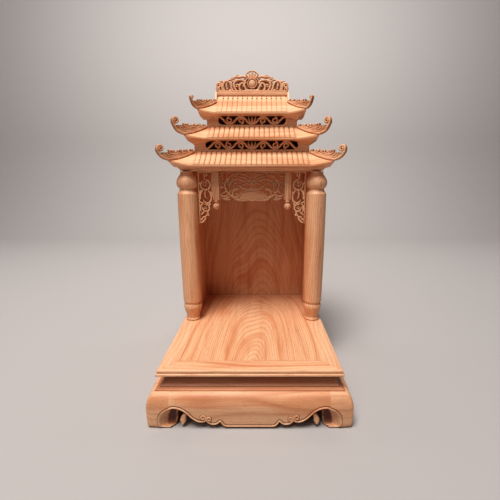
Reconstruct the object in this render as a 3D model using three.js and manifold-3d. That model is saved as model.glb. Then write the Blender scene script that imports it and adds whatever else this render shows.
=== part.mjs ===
// A household altar cabinet: a platform on a bulging scrolled apron, a niche behind two turned columns,
// a pierced head screen, and a roof of three tiers with pierced friezes, hip boards and ridge crest.
// Millimetres, +Z up, front towards -Y, the origin under the middle of the bounding box.
import * as THREE from "three";
import { mergeVertices } from "three/addons/utils/BufferGeometryUtils.js";
import Module from "manifold-3d";

const wasm = await Module();
wasm.setup();

// ---------------------------------------------------------------- driving dimensions
const GAP = 0.3; // between two pieces that touch
const REACH = 2; // how far a cutter runs past what it cuts

const PLATFORM = { halfWidth: 215, front: -267, back: 249, top: 132, thick: 14, rail: 44, panel: 8 };
const WAIST = { top: 118, low: 89.5, foot: 84, inset: 9, inner: 24, flare: 4 };
const LEG = { wing: 57, inner: 8, pocket: 12, lip: 4 };
// How far the apron stands out from the platform's edge, against its height.
const BULGE = [
  [4, 84], [12, 81], [17.5, 76], [22, 67], [24.7, 56], [25.3, 43], [25.2, 28], [24.8, 14], [23.6, 4.6], [17, 0],
];

const COLUMN = { x: 185, y: 15.9 };
const HOUSE = { middle: 120.25, inner: 176, wall: 12, backFace: 218.2, ceiling: 580, roof: 592 };
const SCREEN = { thick: 9, low: 498, rail: 6, stile: 4, stileFoot: 502 };
const POST = { x: 103, wide: 18, deep: 15, foot: 500, ball: 10.3, neck: 8 };
const BRACKET = { clear: 31, foot: 432, innerFoot: 508 }; // clear: from the column's axis
const BOARD = 10; // frieze boards
const TILE = { pitch: 14.3, rise: 3 };

// The house's plan narrows by the same amount on every side, so one half width fixes each outline.
const SIDE_DIFFERENCE = COLUMN.x - (HOUSE.middle - COLUMN.y);
const plan = (halfWidth) => [halfWidth, halfWidth - SIDE_DIFFERENCE];

const TIERS = [
  {
    number: 1, eave: 224, eaveTop: 596, lift: 13, top: 634, inner: 164, bearing: 198, bear: 592.3,
    coveMiddle: 591, coveCorner: 581, horn: { reach: 252.5, height: 637, radius: 12 }, cloud: 8,
  },
  {
    number: 2, eave: 187, eaveTop: 670, lift: 10, top: 706, inner: 131, bearing: 164, bear: 668.3,
    coveMiddle: 665, coveCorner: 652, horn: { reach: 217, height: 712, radius: 12 }, cloud: 7,
  },
  {
    number: 3, eave: 154, eaveTop: 743, lift: 11, top: 781, inner: 104, bearing: 131, bear: 740.3,
    coveMiddle: 738.5, coveCorner: 724, horn: { reach: 174, height: 779, radius: 6 }, cloud: 5,
  },
];
const LIP = 4; // thickness of the tiles at the eave
const RIDGE = { top: 799, half: 3, beamTop: 813, beamHalf: 104, thick: 12 };
const CREST = { top: 871, thick: 9, shell: 838 };
const HIP = { thick: 11, sunk: 2.5, start: 6, lobes: 3, rise: 4, eye: 8 };
const GABLE = { thick: 5, top: 6 };

// ---------------------------------------------------------------- solids and meshes
function solid(geometry) {
  const plain = geometry.clone();
  plain.deleteAttribute("normal");
  plain.deleteAttribute("uv");
  const merged = mergeVertices(plain, 1e-4);
  return new wasm.Manifold(
    new wasm.Mesh({
      numProp: 3,
      vertProperties: new Float32Array(merged.attributes.position.array),
      triVerts: new Uint32Array(merged.index.array),
    }),
  );
}

function geometryOf(body) {
  const mesh = body.getMesh();
  const geometry = new THREE.BufferGeometry();
  geometry.setAttribute("position", new THREE.BufferAttribute(new Float32Array(mesh.vertProperties), 3));
  geometry.setIndex(new THREE.BufferAttribute(new Uint32Array(mesh.triVerts), 1));
  geometry.computeVertexNormals();
  return geometry;
}

const joined = (bodies) => bodies.reduce((whole, body) => whole.add(body));

function block(x0, x1, y0, y1, z0, z1) {
  const box = new THREE.BoxGeometry(x1 - x0, y1 - y0, z1 - z0);
  return box.translate((x0 + x1) / 2, (y0 + y1) / 2, (z0 + z1) / 2);
}

// A shape drawn in x and z, with its thickness along y from y0 to y1.
function upright(shape, y0, y1, curveSegments = 3) {
  const geometry = new THREE.ExtrudeGeometry(shape, { depth: y1 - y0, bevelEnabled: false, curveSegments });
  return geometry.rotateX(Math.PI / 2).translate(0, y1, 0);
}

// A shape drawn in y and z, with its thickness along x from x0 to x1.
function sideways(shape, x0, x1, curveSegments = 3) {
  const geometry = new THREE.ExtrudeGeometry(shape, { depth: x1 - x0, bevelEnabled: false, curveSegments });
  return geometry.rotateX(Math.PI / 2).rotateZ(Math.PI / 2).translate(x0, 0, 0);
}

const polygon = (points) => new THREE.Shape(points.map(([a, b]) => new THREE.Vector2(a, b)));
const mirrored = (points) => points.map(([a, b]) => [-a, b]).reverse();

// ---------------------------------------------------------------- pieces that run round the four sides
// Side 0 is the front, then right, back and left. "along" runs anticlockwise seen from above.
const SIDES = [
  { name: "front", along: [1, 0], out: [0, -1] },
  { name: "right", along: [0, 1], out: [1, 0] },
  { name: "back", along: [-1, 0], out: [0, 1] },
  { name: "left", along: [0, -1], out: [-1, 0] },
];

function onSide(side, along, out, z, middle) {
  const { along: a, out: o } = SIDES[side];
  return [a[0] * along + o[0] * out, a[1] * along + o[1] * out + middle, z];
}

// One mitred length of a section, given as [distance in from the edge, height] anticlockwise.
function mitredLength(side, section, half, middle) {
  const length = half[side % 2];
  const out = half[(side + 1) % 2];
  const mitre = GAP / 2;
  const count = section.length;
  const position = [];
  for (const end of [-1, 1])
    for (const [inset, z] of section)
      position.push(...onSide(side, end * (length - inset - mitre), out - inset, z, middle));
  const index = [];
  for (let i = 0; i < count; i++) {
    const next = (i + 1) % count;
    index.push(i, next, i + count, next, next + count, i + count);
  }
  const flat = section.map(([inset, z]) => new THREE.Vector2(inset, z));
  for (const [a, b, c] of THREE.ShapeUtils.triangulateShape(flat, []))
    index.push(a, c, b, a + count, b + count, c + count);
  const geometry = new THREE.BufferGeometry();
  geometry.setAttribute("position", new THREE.Float32BufferAttribute(position, 3));
  return geometry.setIndex(index);
}

// A body built of rows that run round all four sides. Each row gives, for each side, points from corner to
// corner; neighbouring rows may have different counts. The last row joins the first, or both ends are capped.
function roundBody(rows, middle, capped) {
  const position = [];
  const loops = rows.map((row) => {
    const sides = SIDES.map((_, side) => {
      const length = row.half[side % 2];
      const out = row.half[(side + 1) % 2];
      const stations = row.stations(side, length);
      return stations.map((along, i) => {
        const last = i === stations.length - 1;
        if (!last) position.push(...onSide(side, along, out, row.height(along, side), middle));
        return { share: along / length, vertex: last ? null : position.length / 3 - 1 };
      });
    });
    sides.forEach((points, side) => (points[points.length - 1].vertex = sides[(side + 1) % 4][0].vertex));
    return sides;
  });
  const index = [];
  const stitch = (upper, lower) => {
    let i = 0;
    let j = 0;
    while (i < upper.length - 1 || j < lower.length - 1) {
      const stepUpper =
        j === lower.length - 1 || (i < upper.length - 1 && upper[i + 1].share <= lower[j + 1].share);
      if (stepUpper) index.push(upper[i].vertex, lower[j].vertex, upper[++i].vertex);
      else index.push(upper[i].vertex, lower[j].vertex, lower[++j].vertex);
    }
  };
  for (let r = 0; r < loops.length - (capped ? 1 : 0); r++)
    for (let side = 0; side < 4; side++) stitch(loops[r][side], loops[(r + 1) % loops.length][side]);
  const cap = (loop, z, facesUp) => {
    position.push(0, middle, z);
    const centre = position.length / 3 - 1;
    for (const points of loop)
      for (let i = 0; i < points.length - 1; i++) {
        const pair = [points[i].vertex, points[i + 1].vertex];
        index.push(centre, ...(facesUp ? pair : pair.reverse()));
      }
  };
  if (capped) {
    cap(loops[0], rows[0].height(0, 0), true);
    cap(loops[loops.length - 1], rows[rows.length - 1].height(0, 0), false);
  }
  const geometry = new THREE.BufferGeometry();
  geometry.setAttribute("position", new THREE.Float32BufferAttribute(position, 3));
  return geometry.setIndex(index);
}

// ---------------------------------------------------------------- pierced work
// Points [x, z] of a spiral from radius r0 to r1, starting at an angle in degrees; turns may be negative.
function spiral(x, z, r0, r1, start, turns, stepsPerTurn = 6) {
  const steps = Math.max(3, Math.round(Math.abs(turns) * stepsPerTurn));
  return Array.from({ length: steps + 1 }, (_, i) => {
    const angle = ((start + (360 * turns * i) / steps) * Math.PI) / 180;
    const radius = r0 + ((r1 - r0) * i) / steps;
    return [x + radius * Math.cos(angle), z + radius * Math.sin(angle)];
  });
}

// A smooth line through a few points, as [x, z] points.
function flowing(points, steps) {
  const curve = new THREE.SplineCurve(points.map(([x, z]) => new THREE.Vector2(x, z)));
  return curve.getPoints(steps).map((p) => [p.x, p.y]);
}

// A carved stem along the line, tapering from one width to another, as a solid with a thickness along y.
function stem(line, widthFrom, widthTo, y0, y1) {
  const sides = line.map(([x, z], i) => {
    const before = line[Math.max(0, i - 1)];
    const after = line[Math.min(line.length - 1, i + 1)];
    const run = Math.hypot(after[0] - before[0], after[1] - before[1]);
    const half = (widthFrom + ((widthTo - widthFrom) * i) / (line.length - 1)) / 2;
    const across = [(-(after[1] - before[1]) / run) * half, ((after[0] - before[0]) / run) * half];
    return { left: [x + across[0], z + across[1]], right: [x - across[0], z - across[1]] };
  });
  return solid(upright(polygon([...sides.map((s) => s.right), ...sides.map((s) => s.left).reverse()]), y0, y1));
}

// A fan of lobes about [x, z], like an open shell, spread over an angle in degrees.
function fan(x, z, radius, lobes, spread) {
  const points = [[x, z - radius * 0.2]];
  for (let i = 0; i <= 2 * lobes; i++) {
    const angle = ((i / (2 * lobes) - 0.5) * spread * Math.PI) / 180;
    const reach = radius * (i % 2 === 1 ? 1 : 0.82);
    points.push([x + Math.sin(angle) * reach, z + Math.cos(angle) * reach]);
  }
  return polygon(points.reverse());
}

function disc(x, z, radius, y0, y1, sides = 6) {
  const shape = new THREE.Shape().absarc(x, z, radius, 0, 2 * Math.PI, false);
  return solid(upright(shape, y0, y1, sides / 2));
}

// ---------------------------------------------------------------- base
const BASE_MIDDLE = (PLATFORM.front + PLATFORM.back) / 2;
const PLATFORM_HALF = [PLATFORM.halfWidth, (PLATFORM.back - PLATFORM.front) / 2];
const BULGE_MOST = Math.max(...BULGE.map(([out]) => out));

function platformRail(side) {
  const { top, thick, rail } = PLATFORM;
  const low = top - thick;
  const section = [
    [3, top], [1.6, top - 1.5], [1.6, top - 5.5], [3.2, top - 6.5], [-1, top - 9], [-1, low + 1.5], [1, low],
    [rail, low], [rail, top],
  ];
  return mitredLength(side, section, PLATFORM_HALF, BASE_MIDDLE);
}

function platformPanel() {
  const { halfWidth, front, back, top, rail, panel } = PLATFORM;
  const edge = rail + GAP;
  return block(-halfWidth + edge, halfWidth - edge, front + edge, back - edge, top - panel, top);
}

function waistBoard(side) {
  const { top, low, foot, inset, inner, flare } = WAIST;
  const section = [
    [inset, top - GAP], [inset, low], [inset - 3, low - 1], [0, foot + 3.4], [-flare, foot + 2],
    [-flare, foot], [inner, foot], [inner, top - GAP],
  ];
  return mitredLength(side, section, PLATFORM_HALF, BASE_MIDDLE);
}

// The apron's bulging section, reaching in as far as the legs are thick.
const bulgeProfile = (edge, sign) =>
  polygon([
    ...BULGE.map(([out, z]) => [sign * (edge + out), z === WAIST.foot ? z - GAP : z]),
    [sign * (edge - LEG.inner), 0],
    [sign * (edge - LEG.inner), WAIST.foot - GAP],
  ]);

const APRON_LOW = 4.6;
const ARCH_AT_JOINT = 50; // where the apron's arch meets the leg's

// The apron's face: its lower edge runs in scrolls from the middle out to an arch beside each leg.
function apronShape(half) {
  const shape = new THREE.Shape();
  const at = (fromLeg) => half - fromLeg;
  const halfEdge = [
    ["line", at(132), APRON_LOW],
    ["curve", at(121), 5.5, at(115.5), 19],
    ["curve", at(109), 9, at(99), 10.5],
    ["curve", at(89), 10.8, at(83.6), 20.5],
    ["curve", at(76), 14.5, at(64), 18.5],
    ["curve", at(55), 22.5, at(45), 33.5],
    ["curve", at(30), 52.5, at(11), 53],
    ["curve", at(5), 53, at(0), ARCH_AT_JOINT],
  ];
  shape.moveTo(0, APRON_LOW);
  for (const [kind, ...numbers] of halfEdge)
    if (kind === "line") shape.lineTo(...numbers);
    else shape.quadraticCurveTo(...numbers);
  const right = shape.getPoints(2).map((p) => [p.x, p.y]);
  const top = WAIST.foot + REACH;
  return polygon([...mirrored(right.slice(1)), ...right, [half, top], [-half, top]]);
}

function apron(side) {
  const edge = PLATFORM_HALF[(side + 1) % 2];
  const half = PLATFORM_HALF[side % 2] + BULGE_MOST - LEG.wing - GAP / 2;
  const far = edge + BULGE_MOST + REACH;
  const near = edge - LEG.inner - REACH;
  const outline = solid(upright(apronShape(half), -far, -near));
  const board = solid(sideways(bulgeProfile(edge, -1), -half - REACH, half + REACH));
  // A drop-shaped curl hangs in each arch, a little behind the face.
  const dropLine = [[half - 42, 38], [half - 34, 25], [half - 28.5, 14], [half - 28, 9.5]];
  const drop = stem(dropLine, 5, 10, -edge - 20, -edge - LEG.pocket);
  const face = joined([outline.intersect(board), drop, drop.mirror([1, 0, 0])]);
  return face.rotate([0, 0, 90 * side]).translate([0, BASE_MIDDLE, 0]);
}

// The right front leg about the platform's corner, then mirrored into its place.
function leg(signX, signY) {
  const [edgeX, edgeY] = PLATFORM_HALF;
  const outX = edgeX + BULGE_MOST;
  const outY = edgeY + BULGE_MOST;
  const acrossX = solid(upright(bulgeProfile(edgeX, 1), -outY - REACH, REACH)).add(
    solid(block(0, edgeX - LEG.inner, -outY - REACH, REACH, 0, WAIST.foot - GAP)),
  );
  const acrossY = solid(sideways(bulgeProfile(edgeY, -1), -REACH, outX + REACH)).add(
    solid(block(-REACH, outX + REACH, -edgeY + LEG.inner, 0, 0, WAIST.foot - GAP)),
  );
  const corner = solid(
    block(outX - LEG.wing, outX + REACH, -outY - REACH, -outY + LEG.wing, -REACH, WAIST.foot),
  );
  const inside = solid(
    block(0, edgeX - LEG.inner, -edgeY + LEG.inner, 0, -REACH, WAIST.foot + REACH),
  );
  // Below its arch each wing is sunk to a pocket that runs on to the foot's lip.
  const pocket = (outer) => {
    const inner = outer - LEG.wing;
    const foot = outer - BULGE_MOST - LEG.inner;
    const shape = new THREE.Shape().moveTo(inner - REACH, LEG.lip).lineTo(foot - 7, LEG.lip);
    shape.quadraticCurveTo(foot, LEG.lip + 1, foot, 12);
    shape.quadraticCurveTo(foot + 2, 26, foot - 5, 37);
    shape.quadraticCurveTo(foot - 12, 46, inner, ARCH_AT_JOINT).lineTo(inner - REACH, ARCH_AT_JOINT);
    return shape;
  };
  const cutX = solid(upright(pocket(outX), -outY - REACH, -edgeY - LEG.pocket));
  const cutY = solid(sideways(pocket(outY), edgeX + LEG.pocket, outX + REACH)).mirror([0, 1, 0]);
  const body = acrossX.intersect(acrossY).intersect(corner).subtract(inside).subtract(cutX).subtract(cutY);
  const placed = signX < 0 ? body.mirror([1, 0, 0]) : body;
  return (signY > 0 ? placed.mirror([0, 1, 0]) : placed).translate([0, BASE_MIDDLE, 0]);
}

// ---------------------------------------------------------------- niche
// The column's radius against its height above the platform.
const COLUMN_PROFILE = [
  [21, 0], [22.4, 2], [22.4, 5], [19, 9], [24, 27], [27.4, 40], [26, 51], [24.6, 54], [24.6, 57], [27.8, 61],
  [29.3, 195], [28.7, 386], [22, 399], [27.5, 405], [29.6, 414], [28.6, 424], [22, 434], [17.8, 441], [18.6, 447.6],
];
const COLUMN_SIDES = 12;

const sideWallX = [HOUSE.inner, HOUSE.inner + HOUSE.wall];
const sideWallFront = COLUMN.y + 14;
const niche = { floor: PLATFORM.top + GAP, top: HOUSE.ceiling - GAP };

function column(sign) {
  const top = niche.top - niche.floor;
  const profile = [[0, 0], ...COLUMN_PROFILE, [COLUMN_PROFILE.at(-1)[0], top], [0, top]];
  const points = profile
    .filter(([, z], i) => i === 0 || i > COLUMN_PROFILE.length || z < top)
    .map(([r, z]) => new THREE.Vector2(r, z));
  const turned = new THREE.LatheGeometry(points, COLUMN_SIDES).rotateX(Math.PI / 2);
  const groove = block(
    sideWallX[0] - GAP, sideWallX[1] + GAP, sideWallFront - GAP, COLUMN.y + 2 * COLUMN.x, 0, HOUSE.roof,
  );
  const body = solid(turned).translate([COLUMN.x, COLUMN.y, niche.floor]).subtract(solid(groove));
  return sign < 0 ? body.mirror([1, 0, 0]) : body;
}

function sideWall(sign) {
  const [near, far] = sideWallX;
  const x0 = sign > 0 ? near : -far;
  return block(x0, x0 + HOUSE.wall, sideWallFront, HOUSE.backFace + HOUSE.wall, niche.floor, niche.top);
}

function backPanel() {
  const half = HOUSE.inner - GAP;
  return block(-half, half, HOUSE.backFace, HOUSE.backFace + HOUSE.wall, niche.floor, niche.top);
}

function ceilingBoard() {
  const half = plan(198);
  const section = [[0, HOUSE.roof], [0, HOUSE.roof - 5], [2, HOUSE.roof - 7], [2, HOUSE.ceiling + 2], [4, HOUSE.ceiling]];
  const row = (inset, z) => ({
    half: half.map((h) => h - inset),
    stations: (_, length) => [-length, length],
    height: () => z,
  });
  return roundBody(section.map(([inset, z]) => row(inset, z)), HOUSE.middle, true);
}

// ---------------------------------------------------------------- head screen
const screenY = [COLUMN.y - SCREEN.thick / 2, COLUMN.y + SCREEN.thick / 2];

// The right half of the pierced centre, mirrored about the middle; the cartouche and the rails close it.
function headScreen() {
  const [y0, y1] = screenY;
  const top = niche.top;
  const edge = POST.x - POST.wide / 2 - GAP;
  const lines = [
    [flowing([[0, 570], [14, 561], [36, 568], [62, 564], [78, 549], [80, 528], [72, 514]], 6), 5, 4],
    [spiral(64, 536, 16, 7, 10, 0.6), 4.5, 3],
    [flowing([[0, 536], [16, 543], [34, 538], [52, 524]], 3), 4.5, 3.5],
    [flowing([[6, 562], [24, 551], [50, 545]], 3), 4.5, 3.5],
    [spiral(45, 511, 15, 12, 105, -0.55), 5, 5],
    [flowing([[30, 501], [50, 499], [72, 508], [edge - 2, 506]], 4), 5, 5],
    [flowing([[36, 520], [50, 528], [72, 512]], 3), 4, 4],
    [[[78, 566], [edge, 566]], 4, 4],
    [[[79, 536], [edge, 536]], 4, 4],
  ];
  const half = lines.map(([line, from, to]) => stem(line, from, to, y0, y1));
  half.push(disc(40, SCREEN.low, 4, y0, y1), disc(64, SCREEN.low + 3, 4.5, y0, y1));
  const right = joined(half);
  const cartouche = polygon([
    [-31, 499], [31, 499], [38, 505], [37, 514], [30, 521], [16, 525], [-16, 525], [-30, 521], [-37, 514], [-38, 505],
  ]);
  const middle = [
    solid(upright(cartouche, y0, y1)),
    solid(block(-edge, edge, y0, y1, top - SCREEN.rail, top)),
    stem([[0, top - SCREEN.rail / 2], [0, 524]], 5, 5, y0, y1),
    solid(block(-edge, SCREEN.stile - edge, y0, y1, SCREEN.stileFoot, top)),
    solid(block(edge - SCREEN.stile, edge, y0, y1, SCREEN.stileFoot, top)),
    disc(0, SCREEN.low + 0.5, 4, y0, y1),
  ];
  return joined([right, right.mirror([1, 0, 0]), ...middle]);
}

// A square post with a turned collar and ball below; the drop's profile is [radius, height] over its lowest point.
function pendantPost(sign) {
  const x = sign * POST.x;
  const half = POST.wide / 2;
  const deep = POST.deep / 2;
  const { ball, neck, foot } = POST;
  const collar = 2 * ball;
  const low = foot - collar - neck;
  const drop = [
    [0, 0], [ball * 0.6, ball * 0.2], [ball, ball], [ball * 0.6, ball * 1.8], [4.5, collar], [7.5, collar + 2],
    [7.5, collar + neck + 1], [0, collar + neck + 1],
  ].map(([r, z]) => new THREE.Vector2(r, z));
  const shaft = block(x - half, x + half, COLUMN.y - deep, COLUMN.y + deep, foot, niche.top);
  const turned = new THREE.LatheGeometry(drop, 8).rotateX(Math.PI / 2);
  return solid(shaft).add(solid(turned).translate([x, COLUMN.y, low]));
}

// A pierced bracket in the corner between post and column, narrowing down the column.
function bracket(sign) {
  const [y0, y1] = screenY;
  const inner = POST.x + POST.wide / 2 + GAP;
  const outer = COLUMN.x - BRACKET.clear - GAP;
  const top = niche.top;
  const lines = [
    [[[inner, top - 3], [outer, top - 3]], 6, 6],
    [[[outer - 2, top], [outer - 2, BRACKET.foot]], 4, 3.5],
    [[[inner + 2, top], [inner + 2, BRACKET.innerFoot]], 4, 4],
    [spiral(132, 557, 16.5, 8, -90, 0.95), 4.5, 3.5],
    [flowing([[131, 543], [121, 530], [128, 515], [outer - 2, 502]], 4), 5, 4],
    [flowing([[inner + 2, 512], [122, 504], [136, 500], [142, 488], [outer - 2, 474]], 4), 5, 4],
    [spiral(134, 522, 13, 7, 150, -0.7), 4, 3],
    [flowing([[128, 502], [126, 488], [137, 478], [143, 462], [outer - 2, 452]], 4), 4.5, 4],
    [flowing([[141, 466], [140, 450], [outer - 2, 438]], 2), 4, 3.5],
  ];
  const body = joined(lines.map(([line, from, to]) => stem(line, from, to, y0, y1)));
  const rounded = body.subtract(solid(block(outer, outer + 20, y0 - REACH, y1 + REACH, 0, HOUSE.roof)));
  return sign < 0 ? rounded.mirror([1, 0, 0]) : rounded;
}

// ---------------------------------------------------------------- roof
const smooth = (v) => Math.min(1, Math.max(0, v));
const tileCount = (half) => Math.floor((2 * (half - 3)) / TILE.pitch);

// Where the tiles' ridges and valleys lie along a side, and the smooth corner beyond the last valley.
function tileStations(tier, side, length) {
  const count = tileCount(plan(tier.inner)[side % 2]);
  const last = (count / 2) * TILE.pitch;
  const inner = Array.from({ length: 2 * count + 1 }, (_, i) => -last + (i * TILE.pitch) / 2);
  const corner = [0.45, 0.8].map((share) => last + (length - last) * share);
  return [-length, ...corner.map((a) => -a).reverse(), ...inner, ...corner, length];
}

// The same without the tiles' ridges: for a row that lies straight above or below a tiled one.
function valleyStations(tier, side, length) {
  const stations = tileStations(tier, side, length);
  const isRidge = (i) => i > 3 && i < stations.length - 4 && i % 2 === 0;
  return stations.filter((_, i) => !isRidge(i));
}

function cornerShare(tier, along, side) {
  const last = (tileCount(plan(tier.inner)[side % 2]) / 2) * TILE.pitch;
  return smooth((Math.abs(along) - last) / (plan(tier.eave)[side % 2] - last));
}

// The tiles' height without their ridges: a slope a little hollow, lifted towards the eave's corners.
function slopeHeight(tier, share, along, side) {
  const fall = 1 - (1 - share) ** 1.2;
  return tier.top - (tier.top - tier.eaveTop) * fall + tier.lift * cornerShare(tier, along, side) ** 1.6;
}

function tileRow(tier, share) {
  const half = plan(tier.inner + (tier.eave - tier.inner) * share);
  return {
    half,
    stations: (side, length) => tileStations(tier, side, length),
    height: (along, side) => {
      const steps = along / (TILE.pitch / 2) + tileCount(plan(tier.inner)[side % 2]);
      const onRidge = cornerShare(tier, along, side) === 0 && Math.abs(Math.round(steps)) % 2 === 1;
      return slopeHeight(tier, share, along, side) + (onRidge ? TILE.rise : 0);
    },
  };
}

const COARSE = [-1, -0.9, -0.74, 0.74, 0.9, 1];
function coarseRow(halfWidth, height) {
  return {
    half: plan(halfWidth),
    stations: (_, length) => COARSE.map((share) => share * length),
    height: (along, side) => height(along / plan(halfWidth)[side % 2], side),
  };
}

function flatRow(half, z) {
  return { half, stations: (_, length) => [-length, length], height: () => z };
}

// The eave's underside: the lip, the hollow cove down to the storey below, and the ledge that bears on it.
function undersideRows(tier) {
  const eaveHalf = plan(tier.eave);
  const lip = (share, side) =>
    slopeHeight(tier, 1, share * eaveHalf[side % 2], side) - LIP;
  const foot = (share) => {
    const corner = smooth((Math.abs(share) - 0.66) / 0.34);
    return tier.coveMiddle - (tier.coveMiddle - tier.coveCorner) * corner ** 1.3;
  };
  const bearing = tier.bearing + GAP;
  return [
    {
      half: eaveHalf,
      stations: (side, length) => valleyStations(tier, side, length),
      height: (along, side) => lip(along / eaveHalf[side % 2], side),
    },
    coarseRow(bearing + (tier.eave - bearing) * 0.45, (share, side) => {
      const level = lip(share, side) * 0.45 + foot(share) * 0.55;
      return level + 2.5 * smooth((Math.abs(share) - 0.6) / 0.4);
    }),
    coarseRow(bearing, foot),
    flatRow(plan(bearing), tier.bear),
    flatRow(plan(tier.bearing - BOARD), tier.bear),
  ];
}

// A whole tier: two lower ones are open rings, and the top one closes in a ridge with upright gables.
function roofTier(tier) {
  const { inner, top } = tier;
  const slope = [tileRow(tier, 0.01), tileRow(tier, 1), ...undersideRows(tier)];
  if (tier.number < 3) {
    const ledge = inner - BOARD;
    const rim = { ...flatRow(plan(inner + GAP / 2), top), stations: (...at) => valleyStations(tier, ...at) };
    const seat = [flatRow(plan(ledge), top), rim];
    const rows = [...seat, ...slope, flatRow(plan(ledge), top - 11)];
    return roundBody(rows, HOUSE.middle, false);
  }
  const ridge = tileRow(tier, 0.01);
  const ridgeHeight = (along, side) =>
    side % 2 === 0 ? ridge.height(along, side) + RIDGE.top - top : RIDGE.top;
  const ridgeStations = (side, length) => (side % 2 === 0 ? ridge.stations(side, length) : [-length, length]);
  const ridgeRow = { half: [inner, RIDGE.half], stations: ridgeStations, height: ridgeHeight };
  const hollow = [flatRow([inner - 8, 16], top - 8), flatRow([inner - 8, 1.5], RIDGE.top - 12)];
  return roundBody([ridgeRow, ...slope, ...hollow], HOUSE.middle, true);
}

// A frieze board with a pierced window: a rail-framed opening filled by a waving vine.
function storeyBoard(tier, side) {
  const next = TIERS[tier.number];
  const half = plan(tier.inner);
  const isFront = side % 2 === 0;
  const length = half[side % 2] - (isFront ? 0 : BOARD + GAP);
  const out = half[(side + 1) % 2];
  const low = tier.top + GAP;
  const high = next.bear - GAP;
  const y = [-out, -out + BOARD];
  const shape = polygon([[-length, low], [length, low], [length, high], [-length, high]]);
  const window = { half: tier.number === 1 ? 132 : 98, low: low + 7, high: high - 3 };
  window.half -= isFront ? 0 : SIDE_DIFFERENCE;
  let body = solid(upright(shape, ...y));
  if (side !== 2 && window.half > 20) {
    const hole = new THREE.Path();
    const round = (window.high - window.low) / 2;
    hole.absarc(window.half - round, window.low + round, round, -Math.PI / 2, Math.PI / 2, false);
    hole.absarc(-window.half + round, window.low + round, round, Math.PI / 2, 1.5 * Math.PI, false);
    shape.holes.push(hole);
    body = joined([solid(upright(shape, ...y, 4)), ...friezeVine(window, y, isFront)]);
  }
  return body.rotate([0, 0, 90 * side]).translate([0, HOUSE.middle, 0]);
}

// A vine that waves between the window's rails, with a curl in each of its hollows.
function friezeVine(window, [y0, y1], withCurls) {
  const middle = (window.low + window.high) / 2;
  const swing = (window.high - window.low) / 2 - 1.5;
  const waves = Math.round(window.half / 33);
  const steps = waves * 4;
  const wave = (t) => [
    window.half * (2 * t - 1),
    middle - swing * Math.cos(Math.PI * waves * (2 * t - 1)) * (t > 0.01 && t < 0.99 ? 1 : 0),
  ];
  const vine = Array.from({ length: steps + 1 }, (_, i) => wave(i / steps));
  const pieces = [stem(vine, 4.5, 4.5, y0 + 1.5, y1 - 1.5)];
  if (!withCurls) return pieces;
  pieces.push(solid(upright(fan(0, window.low + 3, window.high - window.low - 4, 3, 110), y0 + 1.5, y1 - 1.5)));
  for (let k = 1; k < 2 * waves; k++) {
    if (k === waves) continue;
    const x = -window.half + (k * window.half) / waves;
    const up = (k + waves) % 2 === 0 ? 1 : -1;
    const curl = spiral(x, middle + up * 3, 8.5, 4.5, up * 90, x < 0 ? 0.55 : -0.55);
    pieces.push(stem(curl, 3.6, 3, y0 + 1.5, y1 - 1.5));
  }
  return pieces;
}

// The roof grown by the gap that a piece resting on it keeps.
function cutterOf(roof) {
  const grow = 1.003;
  const wider = roof.translate([0, -HOUSE.middle, 0]).scale([grow, grow, 1]).translate([0, HOUSE.middle, 0]);
  return wider.translate([0, 0, GAP]);
}

// A pierced board that stands on the hip, from the storey above it to the curled horn beyond the eave.
function hipBoard(tier, tierSolid, signX, signY) {
  const diagonal = Math.SQRT2;
  const hip = (share) => {
    const halfWidth = tier.inner + (tier.eave - tier.inner) * share;
    return [(halfWidth - tier.inner) * diagonal, slopeHeight(tier, share, halfWidth, 0)];
  };
  const { height, radius } = tier.horn;
  const reach = tier.horn.reach - HIP.thick / 2 / diagonal;
  const tip = (reach - tier.inner) * diagonal;
  const centre = [tip - radius, height];
  const corner = hip(1);
  const foot = [0.06, 0.4, 0.75, 0.98].map((share) => {
    const [d, z] = hip(share);
    return [d, z - HIP.sunk];
  });
  const horn = flowing(
    [[corner[0] + 1, corner[1] - LIP], [corner[0] + (tip - corner[0]) * 0.55, corner[1] + 5], [tip - 1, height - radius * 0.6]],
    3,
  );
  const curl = spiral(centre[0], centre[1], radius, radius * 0.92, -10, 0.58, 8);
  // The top line falls from the storey to the horn, and the clouds rise from it.
  const start = curl.at(-1)[0] - 3;
  const level = corner[1] + (height - corner[1]) * 0.7;
  const topLine = (share) => level + (tier.top + HIP.rise - level) * share;
  const clouds = Array.from({ length: 2 * HIP.lobes + 1 }, (_, i) => {
    const share = i / (2 * HIP.lobes);
    const cloud = i % 2 === 1 ? tier.cloud * (1 - 0.35 * share) : 0;
    return [start + (HIP.start - start) * share, topLine(share) + cloud];
  });
  const shape = polygon([...foot, ...horn, ...curl, ...clouds]);
  if (signY < 0) {
    const [d, z] = hip(0.6);
    const ceiling = topLine(1 - d / start);
    const eye = new THREE.Path();
    eye.absellipse(d, (z + ceiling) / 2 + 1, HIP.eye, (ceiling - z) * 0.26, 0, 2 * Math.PI);
    shape.holes.push(eye);
  }
  const board = solid(upright(shape, -HIP.thick / 2, HIP.thick / 2, 3));
  const [hx, hy] = plan(tier.inner);
  const placed = board.rotate([0, 0, -45]).translate([hx, -hy, 0]);
  const mirroredX = signX < 0 ? placed.mirror([1, 0, 0]) : placed;
  const mirroredY = signY > 0 ? mirroredX.mirror([0, 1, 0]) : mirroredX;
  return mirroredY.translate([0, HOUSE.middle, 0]).subtract(cutterOf(tierSolid));
}

function ridgeBeam() {
  const half = RIDGE.thick / 2;
  const low = RIDGE.top + TILE.rise + GAP;
  const y = HOUSE.middle;
  return block(-RIDGE.beamHalf, RIDGE.beamHalf, y - half, y + half, low, RIDGE.beamTop);
}

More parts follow.
